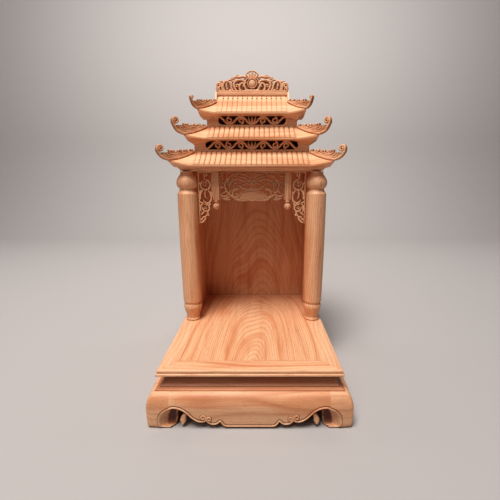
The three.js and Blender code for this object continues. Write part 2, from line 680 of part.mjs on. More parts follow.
// A thin board that closes each gable and stands a little above the tiles.
function gableBoard(sign, roof) {
  const tier = TIERS[2];
  const depth = plan(tier.inner)[1];
  const low = tier.top - GABLE.top;
  const shoulder = tier.top + 5;
  const shape = polygon([
    [-depth, low], [depth, low], [depth, shoulder], [GABLE.top, RIDGE.beamTop], [-GABLE.top, RIDGE.beamTop],
    [-depth, shoulder],
  ]);
  const near = tier.inner + 2 * GAP;
  const x0 = sign > 0 ? near : -near - GABLE.thick;
  return solid(sideways(shape, x0, x0 + GABLE.thick)).translate([0, HOUSE.middle, 0]).subtract(cutterOf(roof));
}

// Scrolls stepping down from a shell in the middle to a curl at each end of the ridge.
function ridgeCrest() {
  const y0 = HOUSE.middle - CREST.thick / 2;
  const y1 = HOUSE.middle + CREST.thick / 2;
  const base = RIDGE.beamTop + GAP;
  const lines = [
    [spiral(30, 831, 13, 6, -60, 0.7), 5, 3.5],
    [flowing([[16, base + 3], [28, 832], [42, 849], [56, 850], [60, 839]], 4), 5.5, 3.5],
    [flowing([[38, base + 2], [56, 832], [66, 846], [78, 845], [84, 836]], 4), 5, 3.5],
    [spiral(75, 829, 11, 5, -80, 0.7), 4.5, 3.5],
    [flowing([[72, base + 2], [88, 830], [99, 838]], 3), 5, 4],
    [spiral(100, 829, 8.5, 4, 110, -0.8), 4.5, 3.5],
    [flowing([[10, base + 3], [20, 838], [18, 856], [30, 852]], 4), 5, 3.5],
  ];
  const right = joined(lines.map(([line, from, to]) => stem(line, from, to, y0, y1)));
  const shell = fan(0, CREST.shell, CREST.top - CREST.shell, 5, 130);
  const middle = [
    solid(block(-RIDGE.beamHalf + 2, RIDGE.beamHalf - 2, y0, y1, base, base + 5)),
    stem([[0, base], [0, CREST.shell]], 22, 16, y0, y1),
    solid(upright(shell, y0, y1)),
  ];
  return joined([right, right.mirror([1, 0, 0]), ...middle]);
}

// ---------------------------------------------------------------- assembly
const WOOD = { pale: "#dba57f", warm: "#d1946c", shade: "#c08055", deep: "#a8643c" };
const cabinet = new THREE.Group();
cabinet.name = "altar_cabinet";

function place(name, shape, color) {
  const geometry = shape.isBufferGeometry ? shape : geometryOf(shape);
  const material = new THREE.MeshStandardMaterial({ color, roughness: 0.5, metalness: 0 });
  const mesh = new THREE.Mesh(geometry, material);
  mesh.name = name;
  cabinet.add(mesh);
}

SIDES.forEach(({ name }, side) => {
  place("platform_rail_" + name, platformRail(side), WOOD.pale);
  place("waist_" + name, waistBoard(side), WOOD.warm);
  place("apron_" + name, apron(side), WOOD.warm);
});
place("platform_panel", platformPanel(), WOOD.pale);

const SIGNS = { left: -1, right: 1, front: -1, back: 1 };
for (const across of ["left", "right"]) {
  const sign = SIGNS[across];
  for (const depth of ["front", "back"])
    place("leg_" + depth + "_" + across, leg(sign, SIGNS[depth]), WOOD.warm);
  place("column_" + across, column(sign), WOOD.warm);
  place("side_wall_" + across, sideWall(sign), WOOD.shade);
  place("pendant_post_" + across, pendantPost(sign), WOOD.shade);
  place("bracket_" + across, bracket(sign), WOOD.shade);
}
place("back_panel", backPanel(), WOOD.shade);
place("ceiling_board", ceilingBoard(), WOOD.warm);
place("head_screen", headScreen(), WOOD.deep);

for (const tier of TIERS) {
  const body = solid(roofTier(tier));
  place("roof_tier_" + tier.number, body, WOOD.pale);
  for (const depth of ["front", "back"])
    for (const across of ["left", "right"])
      place(
        "hip_board_" + tier.number + "_" + depth + "_" + across,
        hipBoard(tier, body, SIGNS[across], SIGNS[depth]),
        WOOD.warm,
      );
  if (tier.number < 3)
    SIDES.forEach(({ name }, side) =>
      place("storey_" + tier.number + "_" + name, storeyBoard(tier, side), WOOD.shade),
    );
  else
    for (const across of ["left", "right"])
      place("gable_board_" + across, gableBoard(SIGNS[across], body), WOOD.warm);
}
place("ridge_beam", ridgeBeam(), WOOD.warm);
place("ridge_crest", ridgeCrest(), WOOD.warm);

export default cabinet;
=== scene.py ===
import math

import bmesh
import bpy
import numpy as np
from bpy.props import FloatProperty, FloatVectorProperty, PointerProperty
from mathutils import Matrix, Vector


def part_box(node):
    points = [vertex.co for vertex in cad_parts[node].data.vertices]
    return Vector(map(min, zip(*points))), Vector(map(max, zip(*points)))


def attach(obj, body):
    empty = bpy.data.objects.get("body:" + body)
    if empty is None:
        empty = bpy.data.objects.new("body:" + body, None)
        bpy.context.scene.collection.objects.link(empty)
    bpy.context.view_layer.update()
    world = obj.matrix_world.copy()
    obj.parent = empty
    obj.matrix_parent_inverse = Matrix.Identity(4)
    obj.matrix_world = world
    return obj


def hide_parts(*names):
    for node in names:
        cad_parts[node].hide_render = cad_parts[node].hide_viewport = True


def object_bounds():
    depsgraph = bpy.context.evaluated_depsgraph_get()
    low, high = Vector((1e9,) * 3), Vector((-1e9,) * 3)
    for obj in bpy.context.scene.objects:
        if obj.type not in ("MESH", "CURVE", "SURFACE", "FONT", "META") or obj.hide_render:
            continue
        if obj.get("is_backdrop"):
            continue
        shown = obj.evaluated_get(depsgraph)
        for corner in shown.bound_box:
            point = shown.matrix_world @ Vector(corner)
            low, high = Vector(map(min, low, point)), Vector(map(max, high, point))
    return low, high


bl_info = {
    "name": "Household altar cabinet",
    "version": (1, 0, 0),
    "blender": (4, 5, 0),
    "location": "View3D > Sidebar > Altar cabinet",
    "description": "Dresses the solids of a carved household altar cabinet: carving, turning, tiles and wood",
    "category": "Add Mesh",
}

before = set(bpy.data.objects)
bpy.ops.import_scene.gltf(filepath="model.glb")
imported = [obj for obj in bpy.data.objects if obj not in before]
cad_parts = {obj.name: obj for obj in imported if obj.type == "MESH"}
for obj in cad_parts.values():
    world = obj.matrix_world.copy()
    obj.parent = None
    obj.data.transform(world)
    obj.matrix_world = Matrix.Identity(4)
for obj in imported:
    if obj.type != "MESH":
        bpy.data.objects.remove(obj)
CAD_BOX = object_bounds()
MM = 0.001

# ---------------------------------------------------------------- sizes, in millimetres, as in the solids
GAP = 0.3  # between neighbouring pieces
PLATFORM_HALF = (215.0, 258.0)  # half the platform's width and depth
BASE_MIDDLE = -9.0  # y of the base's middle
WAIST_FOOT = 84.0  # top of aprons and legs
ARCH_AT_JOINT = 50.0  # height of the arch where an apron meets a leg
LEG_WING = 57.0  # length of a leg's wing along its side
LEG_INNER = 8.0  # how far aprons and legs reach in from the platform's edge
POCKET_LIP = 4.0  # height of the lip under a leg's pocket
BULGE = np.array(  # the skirt's section: how far it stands out from the platform's edge, and the height
    [(4, 84), (12, 81), (17.5, 76), (22, 67), (24.7, 56), (25.3, 43), (25.2, 28), (24.8, 14), (23.6, 4.6), (17, 0)]
)
BULGE_MOST = 25.3
COLUMN_X = 185.0
COLUMN_Y = 15.9
NICHE_FLOOR = 132.3
NICHE_TOP = 579.7
POST_X = 103.0
POST_HALF = 9.0
POST_FOOT = 500.0
SCREEN_Y = (COLUMN_Y - 4.5, COLUMN_Y + 4.5)  # front and back of screen and brackets
BRACKET_END = COLUMN_X - 31 - GAP  # where a bracket stops beside its column
HOUSE_MIDDLE = 120.25  # y of the roof's middle
SIDE_DIFFERENCE = COLUMN_X - (HOUSE_MIDDLE - COLUMN_Y)  # how much shorter the roof's side is, by halves
BOARD = 10.0  # thickness of the frieze boards
TILE_PITCH = 14.3
LIP = 4.0  # thickness of the eaves
HORN_THICK = 11.0  # thickness of the cloud boards
TIERS = (
    dict(number=1, eave=224, eave_top=596, lift=13, top=634, inner=164, bearing=198, bear=592.3,
         cove_middle=591, cove_corner=581, horn=(252.5, 637, 12), cloud=8, window=132),
    dict(number=2, eave=187, eave_top=670, lift=10, top=706, inner=131, bearing=164, bear=668.3,
         cove_middle=665, cove_corner=652, horn=(217, 712, 12), cloud=7, window=98),
    dict(number=3, eave=154, eave_top=743, lift=11, top=781, inner=104, bearing=131, bear=740.3,
         cove_middle=738.5, cove_corner=724, horn=(174, 779, 6), cloud=5),
)
RIDGE_TOP = 799.0
RIDGE_HALF = 3.0
PEG_ROW = 791.5  # height of the sunk pegs on the top tier
BEAM_TOP = 813.0
BEAM_HALF = 104.0
CREST_HALF = 108.9
CREST_TOP = 871.0


# ---------------------------------------------------------------- lines
def flow(points, count=24):
    """A smooth line through the points: between two neighbours it is the Catmull-Rom cubic of the four nearest."""
    p = np.asarray(points, float)
    ends = np.vstack([2 * p[0] - p[1], p, 2 * p[-1] - p[-2]])
    t = np.linspace(0, len(p) - 1, count)
    i = np.minimum(t.astype(int), len(p) - 2)
    f = (t - i)[:, None]
    a, b, c, d = ends[i], ends[i + 1], ends[i + 2], ends[i + 3]
    return 0.5 * (2 * b + (c - a) * f + (2 * a - 5 * b + 4 * c - d) * f**2 + (3 * b - a - 3 * c + d) * f**3)


def spiral(x, z, r0, r1, start, turns, count=0):
    """A spiral about x, z: the angle runs evenly from start through the turns while the radius goes from r0 to r1."""
    s = np.linspace(0, 1, count or max(10, int(26 * abs(turns))))
    angle = np.radians(start + 360 * turns * s)
    r = r0 + (r1 - r0) * s
    return np.stack([x + r * np.cos(angle), z + r * np.sin(angle)], 1)


def even(path, step):
    """The same line with its points a step apart, found by linear interpolation along its length."""
    p = np.asarray(path, float)
    length = np.concatenate([[0], np.cumsum(np.linalg.norm(np.diff(p, axis=0), axis=1))])
    count = max(4, int(round(length[-1] / step)) + 1)
    at = np.linspace(0, length[-1], count)
    return np.stack([np.interp(at, length, p[:, k]) for k in range(p.shape[1])], 1)


def quadratic(chain, count=14):
    """Straight and quadratic Bezier lengths in a row: a point alone is a line to it, a pair is (control, end)."""
    points = [np.asarray(chain[0], float)[None]]
    for leg in chain[1:]:
        last = points[-1][-1]
        if len(leg) == 2:
            points.append(np.asarray(leg, float)[None])
            continue
        t = np.linspace(0, 1, count)[1:, None]
        control, end = np.array(leg[:2], float), np.array(leg[2:], float)
        points.append((1 - t) ** 2 * last + 2 * t * (1 - t) * control + t**2 * end)
    return np.vstack(points)


def smoothed(values, reach):
    """Each row replaced by the mean of its neighbours, reach rows to each side, with the ends held."""
    if reach < 1:
        return values
    padded = np.concatenate([np.repeat(values[:1], reach, 0), values, np.repeat(values[-1:], reach, 0)])
    kernel = np.ones(2 * reach + 1) / (2 * reach + 1)
    return np.stack([np.convolve(padded[:, k], kernel, "valid") for k in range(values.shape[1])], 1)


def across(path):
    """The unit normals to the left of a line, and from them a line's own offset."""
    t = np.gradient(path, axis=0)
    t /= np.maximum(np.linalg.norm(t, axis=1, keepdims=True), 1e-9)
    return np.stack([-t[:, 1], t[:, 0]], 1)


# ---------------------------------------------------------------- bodies: (vertices, [face arrays], painted shade)
def joined(parts):
    """Several bodies as one, with the face numbers moved along."""
    vertices, faces, dusk, total = [], [], [], 0
    for v, f, d in parts:
        vertices.append(v)
        dusk.append(d)
        faces += [a + total for a in f]
        total += len(v)
    return np.vstack(vertices), faces, np.concatenate(dusk)


def flipped(faces):
    """The faces with their corners in the other order, for a body that has been mirrored."""
    return [f[:, ::-1] for f in faces]


def faced_out(vertices, faces):
    """A closed body's faces, turned outward: the sum of the tetrahedra from its middle to each face's fan of
    triangles is its volume, and is negative where the faces look in."""
    v = vertices - vertices.mean(0)
    fans = [v[f] for f in faces]
    volume = sum(np.einsum("ij,ikj->", c[:, 0], np.cross(c[:, 1:-1], c[:, 2:])) for c in fans)
    return faces if volume > 0 else flipped(faces)


def tube(rings, looped=False, dusk=0.0):
    """A closed body from an array of rings [ring, point, xyz]: each ring joins the next, and the last joins the
    first or both ends are closed by one face. The painted shade, 0 to 1, darkens a point by how deep in a carved
    hollow it lies."""
    n, k = rings.shape[:2]
    i = np.arange(n * k).reshape(n, k)
    a, b = (i, np.roll(i, -1, 0)) if looped else (i[:-1], i[1:])
    quads = np.stack([a, np.roll(a, -1, 1), np.roll(b, -1, 1), b], -1).reshape(-1, 4)
    ends = [] if looped else [i[0][::-1][None], i[-1][None]]
    vertices = rings.reshape(-1, 3)
    return vertices, faced_out(vertices, [quads, *ends]), np.broadcast_to(dusk, (n, k)).ravel()


def lathe(profile, centre, sides=72):
    """A turned body: the profile's radius at each height, carried round a circle about the centre."""
    profile = np.asarray(profile, float)
    angle = np.linspace(0, 2 * np.pi, sides, endpoint=False)
    r, z = profile[:, :1], profile[:, 1:]
    rings = np.stack(
        [centre[0] + r * np.cos(angle), centre[1] + r * np.sin(angle), centre[2] + z + 0 * angle], -1
    )
    return tube(rings)


def block(x0, x1, y0, y1, z0, z1, ease=0.8):
    """A board: a rounded rectangle in x and y, drawn in a little at its lower and upper arris."""
    corner = np.radians(np.arange(0, 90.1, 30))
    cx, cy = (x0 + x1) / 2, (y0 + y1) / 2
    hx, hy = (x1 - x0) / 2, (y1 - y0) / 2
    e = min(ease, hx * 0.9, hy * 0.9, (z1 - z0) * 0.45)
    turns = np.concatenate([corner + q * np.pi / 2 for q in range(4)])
    sign_x = np.repeat([1, -1, -1, 1], len(corner))
    sign_y = np.repeat([1, 1, -1, -1], len(corner))
    tall = z1 - z0
    levels = np.array([(e, 0), (e * 0.3, e * 0.3), (0, e), (0, tall - e), (e * 0.3, tall - e * 0.3), (e, tall)])
    d, z = levels[:, :1], levels[:, 1:]
    x = cx + sign_x * (hx - e) + (e - d) * np.cos(turns)
    y = cy + sign_y * (hy - e) + (e - d) * np.sin(turns)
    return tube(np.stack([x, y, z0 + z + 0 * turns], -1))


ARC = np.linspace(0, np.pi, 7)  # the turns of a stroke's rounded front
EDGE_PAINTED_SHADE = 0.62 * (1 - np.sin(ARC)) ** 1.5  # painted shade across that front, deeper at its edges
STROKE_SIDE = 2.2  # how far behind its edge a stroke's side is in full painted shade


def stem(path, width, front, back, crown=0.5, ends=(0.14, 0.14), both=False, step=1.2):
    """A carved stem in the x, z plane: a section with a rounded front carried along the line. Its half width goes
    between the given widths, or follows them as a list, and closes in a half circle at each end. The front sinks
    by crown times the half width at the section's edges, and so does the back if both is set."""
    p = even(path, step)
    s = np.linspace(0, 1, len(p))
    w = np.interp(s, np.linspace(0, 1, len(np.atleast_1d(width))), np.atleast_1d(width)) / 2
    lead = [max(e, 1e-3) for e in ends]
    w = w * np.sqrt(np.clip(1 - (1 - np.minimum(1, s / lead[0])) ** 2, 0.01, 1))
    w = w * np.sqrt(np.clip(1 - (1 - np.minimum(1, (1 - s) / lead[1])) ** 2, 0.01, 1))
    w = w[:, None]
    n = across(p)
    drop = np.minimum(crown * w, (back - front) * 0.45)
    out = w * np.cos(ARC)
    depth = front + drop * (1 - np.sin(ARC))
    # Painted shade: deeper at the edges of the rounded front, and full on the sides and back of a one-sided stroke.
    if both:
        out = np.concatenate([out, out[:, ::-1]], 1)
        depth = np.concatenate([depth, (front + back) - depth[:, ::-1]], 1)
        dusk = np.concatenate([EDGE_PAINTED_SHADE, EDGE_PAINTED_SHADE])
    else:
        out = np.concatenate([out, -w, -w, w, w], 1)
        middle = np.minimum(front + drop + STROKE_SIDE, (front + drop + back) / 2)
        depth = np.concatenate([depth, middle, np.full_like(w, back), np.full_like(w, back), middle], 1)
        dusk = np.concatenate([EDGE_PAINTED_SHADE, [0.9, 1, 1, 0.9]])
    rings = np.stack([p[:, :1] + n[:, :1] * out, depth, p[:, 1:] + n[:, 1:] * out], -1)
    return tube(rings, dusk=dusk)


def leaf(points, width, front, back, crown=0.9):
    """A carved leaf: a stem that swells to its width a third of the way along and ends in a point."""
    s = np.linspace(0, 1, 12)
    shape = np.maximum(0.12, np.sin(np.pi * s**0.75)) * width
    return stem(flow(points), shape, front, back, crown, ends=(0.05, 0.05))


def boss(x, z, radius, front, back, tall=1.0, bulge=0.6):
    """A round or oval boss: rings that shrink from the edge to the middle as the front rises like a dome."""
    angle = np.linspace(0, 2 * np.pi, 28, endpoint=False)
    t = np.linspace(0, np.pi / 2 - 0.05, 7)
    share = np.concatenate([[1.0], np.cos(t)])
    # Painted shade: full at the boss's foot, fading up the dome.
    dusk = np.concatenate([[1.0], 0.7 * (1 - np.sin(t)) ** 1.5])[:, None]
    depth = np.concatenate([[back], front + bulge * radius * (1 - np.sin(t))])
    across_ring = radius * share[:, None]
    rings = [x + across_ring * np.cos(angle), depth[:, None] + 0 * angle, z + tall * across_ring * np.sin(angle)]
    return tube(np.stack(rings, -1), dusk=dusk)


def plate(outline, front, back, ease=0.8, dusk=0.0):
    """A flat plate: its outline drawn in by ease at the front arris, in three steps, and straight at the back."""
    p = np.asarray(outline, float)
    n = across(np.vstack([p[-1:], p, p[:1]]))[1:-1]
    area = 0.5 * np.sum(p[:, 0] * np.roll(p[:, 1], -1) - np.roll(p[:, 0], -1) * p[:, 1])
    inward = n if area > 0 else -n
    levels = [(0, back), (0, front + ease), (ease * 0.3, front + ease * 0.3), (ease, front)]
    d, y = np.array(levels).T[:, :, None]
    rings = np.stack([p[:, 0] + inward[:, 0] * d, y + 0 * p[:, 0], p[:, 1] + inward[:, 1] * d], -1)
    return tube(rings, dusk=dusk)


def carver(y0, y1, wide=1.0, crown=0.5, ends=(0.14, 0.14), curl_ends=(0.14, 0.14), both=False, count=30):
    """The strokes of one pierced board from y0 to y1, which share their depth, crown and ends: a line through
    points, a spiral curl, a petal and a knob. A stroke's lift sets its front back, and its back in where the board
    is carved on both faces."""
    def behind(lift):
        return y1 - lift if both else y1

    def line(points, width, lift=0.0, count=count):
        return stem(flow(points, count), np.multiply(width, wide), y0 + lift, behind(lift), crown, ends, both)

    def curl(x, z, r0, r1, start, turns, width, lift=0.0):
        path = spiral(x, z, r0, r1, start, turns)
        return stem(path, np.multiply(width, wide), y0 + lift, behind(lift), crown, curl_ends, both)

    def petal(points, width, lift=0.0, crown=0.9):
        return leaf(points, width, y0 + lift, behind(lift), crown)

    def knob(x, z, radius, lift=0.0, tall=1.0):
        return boss(x, z, radius, y0 + lift, behind(lift), tall)

    return line, curl, petal, knob


def mirrored(part):
    """The body on the other side of the middle, x turned to -x."""
    return part[0] * (-1, 1, 1), flipped(part[1]), part[2]


def both_sides(parts):
    """The bodies and their mirror images."""
    return [*parts, *[mirrored(part) for part in parts]]


def turned(part, quarters, middle):
    """The body moved round the upright axis through y = middle by quarter turns."""
    c, s = ((1, 0), (0, 1), (-1, 0), (0, -1))[quarters]
    v = part[0]
    return np.stack([c * v[:, 0] - s * v[:, 1], s * v[:, 0] + c * v[:, 1] + middle, v[:, 2]], 1), *part[1:]


def piece(name, part, material, node, sharp=38.0, of_sheets=False):
    """Makes the mesh, joins its doubles, smooths it below the sharp angle and puts it on the frame in the node's
    place. A body joined of open sheets has its faces turned out here, once its doubles are merged; the others are
    built facing out."""
    vertices, faces, dusk = part
    mesh = bpy.data.meshes.new(name)
    mesh.vertices.add(len(vertices))
    mesh.vertices.foreach_set("co", (vertices * MM).astype(np.float32).ravel())
    loops = np.concatenate([f.ravel() for f in faces])
    sizes = np.concatenate([np.full(len(f), f.shape[1]) for f in faces])
    mesh.loops.add(len(loops))
    mesh.loops.foreach_set("vertex_index", loops.astype(np.int32))
    mesh.polygons.add(len(sizes))
    mesh.polygons.foreach_set("loop_start", np.concatenate([[0], np.cumsum(sizes)[:-1]]).astype(np.int32))
    # the painted shade of each point, read by the wood's material
    mesh.attributes.new("dusk", "FLOAT", "POINT").data.foreach_set("value", dusk.astype(np.float32))
    mesh.update(calc_edges=True)
    mesh.validate()
    work = bmesh.new()
    work.from_mesh(mesh)
    bmesh.ops.remove_doubles(work, verts=work.verts, dist=0.02 * MM)
    if of_sheets:
        bmesh.ops.recalc_face_normals(work, faces=work.faces)
    work.to_mesh(mesh)
    work.free()
    mesh.shade_smooth()
    mesh.set_sharp_from_angle(angle=math.radians(sharp))
    mesh.materials.append(material)
    made = bpy.data.objects.new(name, mesh)
    bpy.context.scene.collection.objects.link(made)
    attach(made, "root")
    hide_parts(node)


# ---------------------------------------------------------------- wood
def linear(text):
    """An sRGB hex value as linear red, green, blue and alpha."""
    srgb = [int(text[i : i + 2], 16) / 255 for i in (1, 3, 5)]
    return [c / 12.92 if c <= 0.04045 else ((c + 0.055) / 1.055) ** 2.4 for c in srgb] + [1.0]


def add(tree, kind, links=(), **settings):
    """Adds one node: settings name its properties or its inputs, and links are (input, socket) pairs."""
    node = tree.nodes.new(kind)
    for key, value in settings.items():
        if key.startswith("in_"):
            slot_key = key[3:]
            node.inputs[int(slot_key) if slot_key.isdigit() else slot_key].default_value = value
        else:
            setattr(node, key, value)
    for key, socket in links:
        tree.links.new(socket, node.inputs[key])
    return node


def ramp(tree, socket, stops):
    """A colour ramp over the socket; a stop's value is a colour or a plain factor."""
    node = add(tree, "ShaderNodeValToRGB", [("Fac", socket)])
    elements = node.color_ramp.elements
    while len(elements) < len(stops):
        elements.new(0.5)
    for element, (at, value) in zip(elements, stops):
        element.position = at
        element.color = (value, value, value, 1) if np.ndim(value) == 0 else value
    return node.outputs["Color"]


GRAIN_TURN = {"X": (0, 0, math.pi / 2), "Y": (0, 0, 0), "Z": (math.pi / 2, 0, 0)}
RED_STREAK = "#c8683d"
PORE = "#7d4426"
# Colour and strength of the painted shade that the point attribute lays into carved hollows, valleys and edges.
PAINTED_SHADE_COLOUR = "#5f2c14"
PAINTED_SHADE_STRENGTH = 0.78
BEND = 0.055  # metres by which the slow noise bends the rings
VARNISHED = 0.5  # roughness of satin varnish over planed wood


def wood(name, grain, seed, pale, mid, line, ring_mm=5.0, heart=(0, 0, -90), tilt=(0.0, 0.0),
         ring_share=0.5):
    """Planed reddish hardwood under a thin satin varnish, which gives soft wide highlights over warm brown figure.
    Growth rings are nested cylinders about a trunk's heart that runs nearly along the grain, so a board cut at a
    slant across them shows long arches. A slow noise bends them, and a noise along the ring number makes some rings
    broad and pale. Reddish streaks, fine fibres and open pores run along the grain, and the point attribute
    dusk lays painted shade into the carved hollows and edges."""
    made = bpy.data.materials.new(name)
    made.use_nodes = True
    tree = made.node_tree
    tree.nodes.clear()
    place = add(tree, "ShaderNodeTexCoord").outputs["Object"]
    turn = add(tree, "ShaderNodeMapping", [("Vector", place)], in_Rotation=GRAIN_TURN[grain],
               in_Location=(seed * 0.37, seed * 0.53, seed * 0.29)).outputs["Vector"]
    straight = add(tree, "ShaderNodeMapping", [("Vector", place)], in_Rotation=GRAIN_TURN[grain]).outputs["Vector"]
    # bends about 140 mm across and 420 mm along
    slow = add(tree, "ShaderNodeMapping", [("Vector", turn)], in_Scale=(7, 2.4, 7)).outputs["Vector"]
    bend = add(tree, "ShaderNodeTexNoise", [("Vector", slow)], in_Scale=1.0, in_Detail=1.0, in_Roughness=0.35)
    heart_at = add(tree, "ShaderNodeMapping", [("Vector", straight)], vector_type="TEXTURE",
                   in_Location=[v * MM for v in heart], in_Rotation=(tilt[0], 0, tilt[1])).outputs["Vector"]
    shift = add(tree, "ShaderNodeVectorMath", [(0, bend.outputs["Color"])], operation="SUBTRACT", in_1=(0.5, 0.5, 0.5))
    push = add(tree, "ShaderNodeVectorMath", [(0, shift.outputs[0])], operation="MULTIPLY", in_1=(BEND, 0, BEND))
    bent = add(tree, "ShaderNodeVectorMath", [(0, heart_at), (1, push.outputs[0])], operation="ADD")
    cross = add(tree, "ShaderNodeVectorMath", [(0, bent.outputs[0])], operation="MULTIPLY", in_1=(1, 0, 1))
    radius = add(tree, "ShaderNodeVectorMath", [(0, cross.outputs[0])], operation="LENGTH")
    turns = add(tree, "ShaderNodeMath", [(0, radius.outputs["Value"])], operation="MULTIPLY", in_1=1 / (ring_mm * MM))
    ring = add(tree, "ShaderNodeMath", [(0, turns.outputs[0])], operation="FRACT")
    late = ramp(tree, ring.outputs[0], [(0.0, 0.5), (0.1, 0.08), (0.5, 0.0), (0.8, 0.35), (0.94, 1.0), (1.0, 0.5)])
    years = add(tree, "ShaderNodeTexNoise", [("W", turns.outputs[0])], noise_dimensions="1D", in_Scale=0.42,
                in_Detail=2.0)
    patch = add(tree, "ShaderNodeTexNoise", [("Vector", slow)], in_Scale=1.7, in_Detail=2.0)
    # streaks 17 mm across and 310 mm long
    streak_at = add(tree, "ShaderNodeMapping", [("Vector", turn)], in_Scale=(60, 3.2, 60)).outputs["Vector"]
    streak = add(tree, "ShaderNodeTexNoise", [("Vector", streak_at)], in_Scale=1.0, in_Detail=4.0, in_Roughness=0.6)
    # bundles of fibres 1.6 mm across and 55 mm long, coarser than the real ones so that they show
    fibre_at = add(tree, "ShaderNodeMapping", [("Vector", turn)], in_Scale=(620, 18, 620)).outputs["Vector"]
    fibre = add(tree, "ShaderNodeTexNoise", [("Vector", fibre_at)], in_Scale=1.0, in_Detail=3.0)
    # pores 0.8 mm across and 11 mm long, also drawn coarse
    pore_at = add(tree, "ShaderNodeMapping", [("Vector", turn)], in_Scale=(1300, 90, 1300)).outputs["Vector"]
    pore = add(tree, "ShaderNodeTexNoise", [("Vector", pore_at)], in_Scale=1.0, in_Detail=1.0)
    broad = add(tree, "ShaderNodeMath", [(0, years.outputs["Fac"]), (1, patch.outputs["Fac"])], operation="ADD")
    body = ramp(tree, broad.outputs[0], [(0.78, mid), (1.16, pale)])
    blush = ramp(tree, streak.outputs["Fac"], [(0.3, 0.5), (0.42, 0.16), (0.58, 0.0)])
    streaked = add(tree, "ShaderNodeMix", [("Factor", blush), (6, body)], data_type="RGBA", in_7=linear(RED_STREAK))
    strength = ramp(tree, patch.outputs["Fac"], [(0.3, ring_share * 0.45), (0.65, ring_share)])
    ring_factor = add(tree, "ShaderNodeMath", [(0, late), (1, strength)], operation="MULTIPLY")
    ringed = add(tree, "ShaderNodeMix", [("Factor", ring_factor.outputs[0]), (6, streaked.outputs[2])],
                 data_type="RGBA", in_7=line)
    fine = ramp(tree, fibre.outputs["Fac"], [(0.34, 0.88), (0.64, 1.0)])
    fibred = add(tree, "ShaderNodeMix", [(6, ringed.outputs[2]), (7, fine)], data_type="RGBA", blend_type="MULTIPLY",
                 in_Factor=1.0)
    dashes = ramp(tree, pore.outputs["Fac"], [(0.28, 1.0), (0.36, 0.0)])
    dash_factor = add(tree, "ShaderNodeMath", [(0, dashes)], operation="MULTIPLY", in_1=0.45)
    pored = add(tree, "ShaderNodeMix", [("Factor", dash_factor.outputs[0]), (6, fibred.outputs[2])],
                data_type="RGBA", in_7=linear(PORE))
    # Painted shade: the point attribute mixes the colour towards dark brown.
    dusk = add(tree, "ShaderNodeAttribute", attribute_name="dusk").outputs["Fac"]
    shade = add(tree, "ShaderNodeMath", [(0, dusk)], operation="MULTIPLY", in_1=PAINTED_SHADE_STRENGTH)
    shaded = add(tree, "ShaderNodeMix", [("Factor", shade.outputs[0]), (6, pored.outputs[2])],
                 data_type="RGBA", in_7=linear(PAINTED_SHADE_COLOUR))
    height = add(tree, "ShaderNodeMath", [(0, fibre.outputs["Fac"]), (1, dashes)], operation="SUBTRACT")
    relief = add(tree, "ShaderNodeBump", [("Height", height.outputs[0])], in_Strength=0.3, in_Distance=0.12 * MM)
    gloss = ramp(tree, streak.outputs["Fac"], [(0.3, VARNISHED - 0.06), (0.7, VARNISHED + 0.08)])
    shader = add(tree, "ShaderNodeBsdfPrincipled", [("Base Color", shaded.outputs[2]), ("Roughness", gloss),
                 ("Normal", relief.outputs["Normal"])], in_IOR=1.48)
    add(tree, "ShaderNodeOutputMaterial", [("Surface", shader.outputs["BSDF"])])
    return made


def hardwood(key, grain, pale=None, mid=None, **cut):
    """One wood of the cabinet in the user's colours, made once and shared by the pieces cut from it."""
    finish = bpy.context.scene.altar_finish
    name = key + "_hardwood"
    return bpy.data.materials.get(name) or wood(
        name, grain, pale=pale or finish.pale, mid=mid or finish.mid, line=finish.line, **cut
    )


# ---------------------------------------------------------------- base
def bulge_out(z):
    """How far the skirt stands out from the platform's edge at a height: a smooth line through the section."""
    line = flow(BULGE[::-1], 120)
    return np.interp(z, line[:, 1], line[:, 0])


FIELD_INSET = 1.8  # how far the skirt's field lies behind its full section
BEAD_SIDE = 3.2  # from the bead to the field's even part
ROLL_STEPS = 10
ROLL_PAINTED_SHADE = np.array([0.9, 0.5, 0.1, 0, 0, 0, 0, 0, 0.1, 0.4])  # painted shade round the bead


def carving():
    """The user's sizes of the carving."""
    return bpy.context.scene.altar_carving


def bead_rows():
    """The rolled bead along the skirt's edge, as rows of (distance from the edge, inset) from its upper side to its
    lower: three rows down from the field, then a half ellipse of the bead's width and height."""
    width, rise = carving().bead / MM, carving().bead_rise / MM
    turn = np.linspace(np.pi, 0, ROLL_STEPS)
    roll = np.stack([width / 2 * (1 - np.cos(turn)), rise * (1 - np.sin(turn))], 1)
    down = [(width + 2.4, FIELD_INSET), (width + 1.0, FIELD_INSET + 0.1), (width + 0.3, rise + 0.3)]
    return np.vstack([down, roll])


def field_inset(z):
    """The field lies back from the bead, and comes up to the full section just under the waist."""
    return FIELD_INSET * np.clip((WAIST_FOOT - z) / 6, 0, 1)


def edge_normals(edge, reach=3):
    """Unit normals of a line, averaged over a few neighbours so that offsets don't cross at a cusp."""
    normal = smoothed(across(edge), reach)
    return normal / np.maximum(np.linalg.norm(normal, axis=1, keepdims=True), 1e-9)


def apron_edge(half):
    """The apron's lower edge: straight and quadratic lengths from the middle to the leg, and their mirror image."""
    def at(from_leg):
        return half - from_leg

    right = quadratic([
        (0, 4.6), (at(132), 4.6), (at(121), 5.5, at(115.5), 19), (at(109), 9, at(99), 10.5),
        (at(89), 10.8, at(83.6), 20.5), (at(76), 14.5, at(64), 18.5), (at(55), 22.5, at(45), 33.5),
        (at(30), 52.5, at(11), 53), (at(5), 53, at(0), ARCH_AT_JOINT),
    ])
    right = even(right, 0.9)
    return np.vstack([right[:0:-1] * (-1, 1), right])


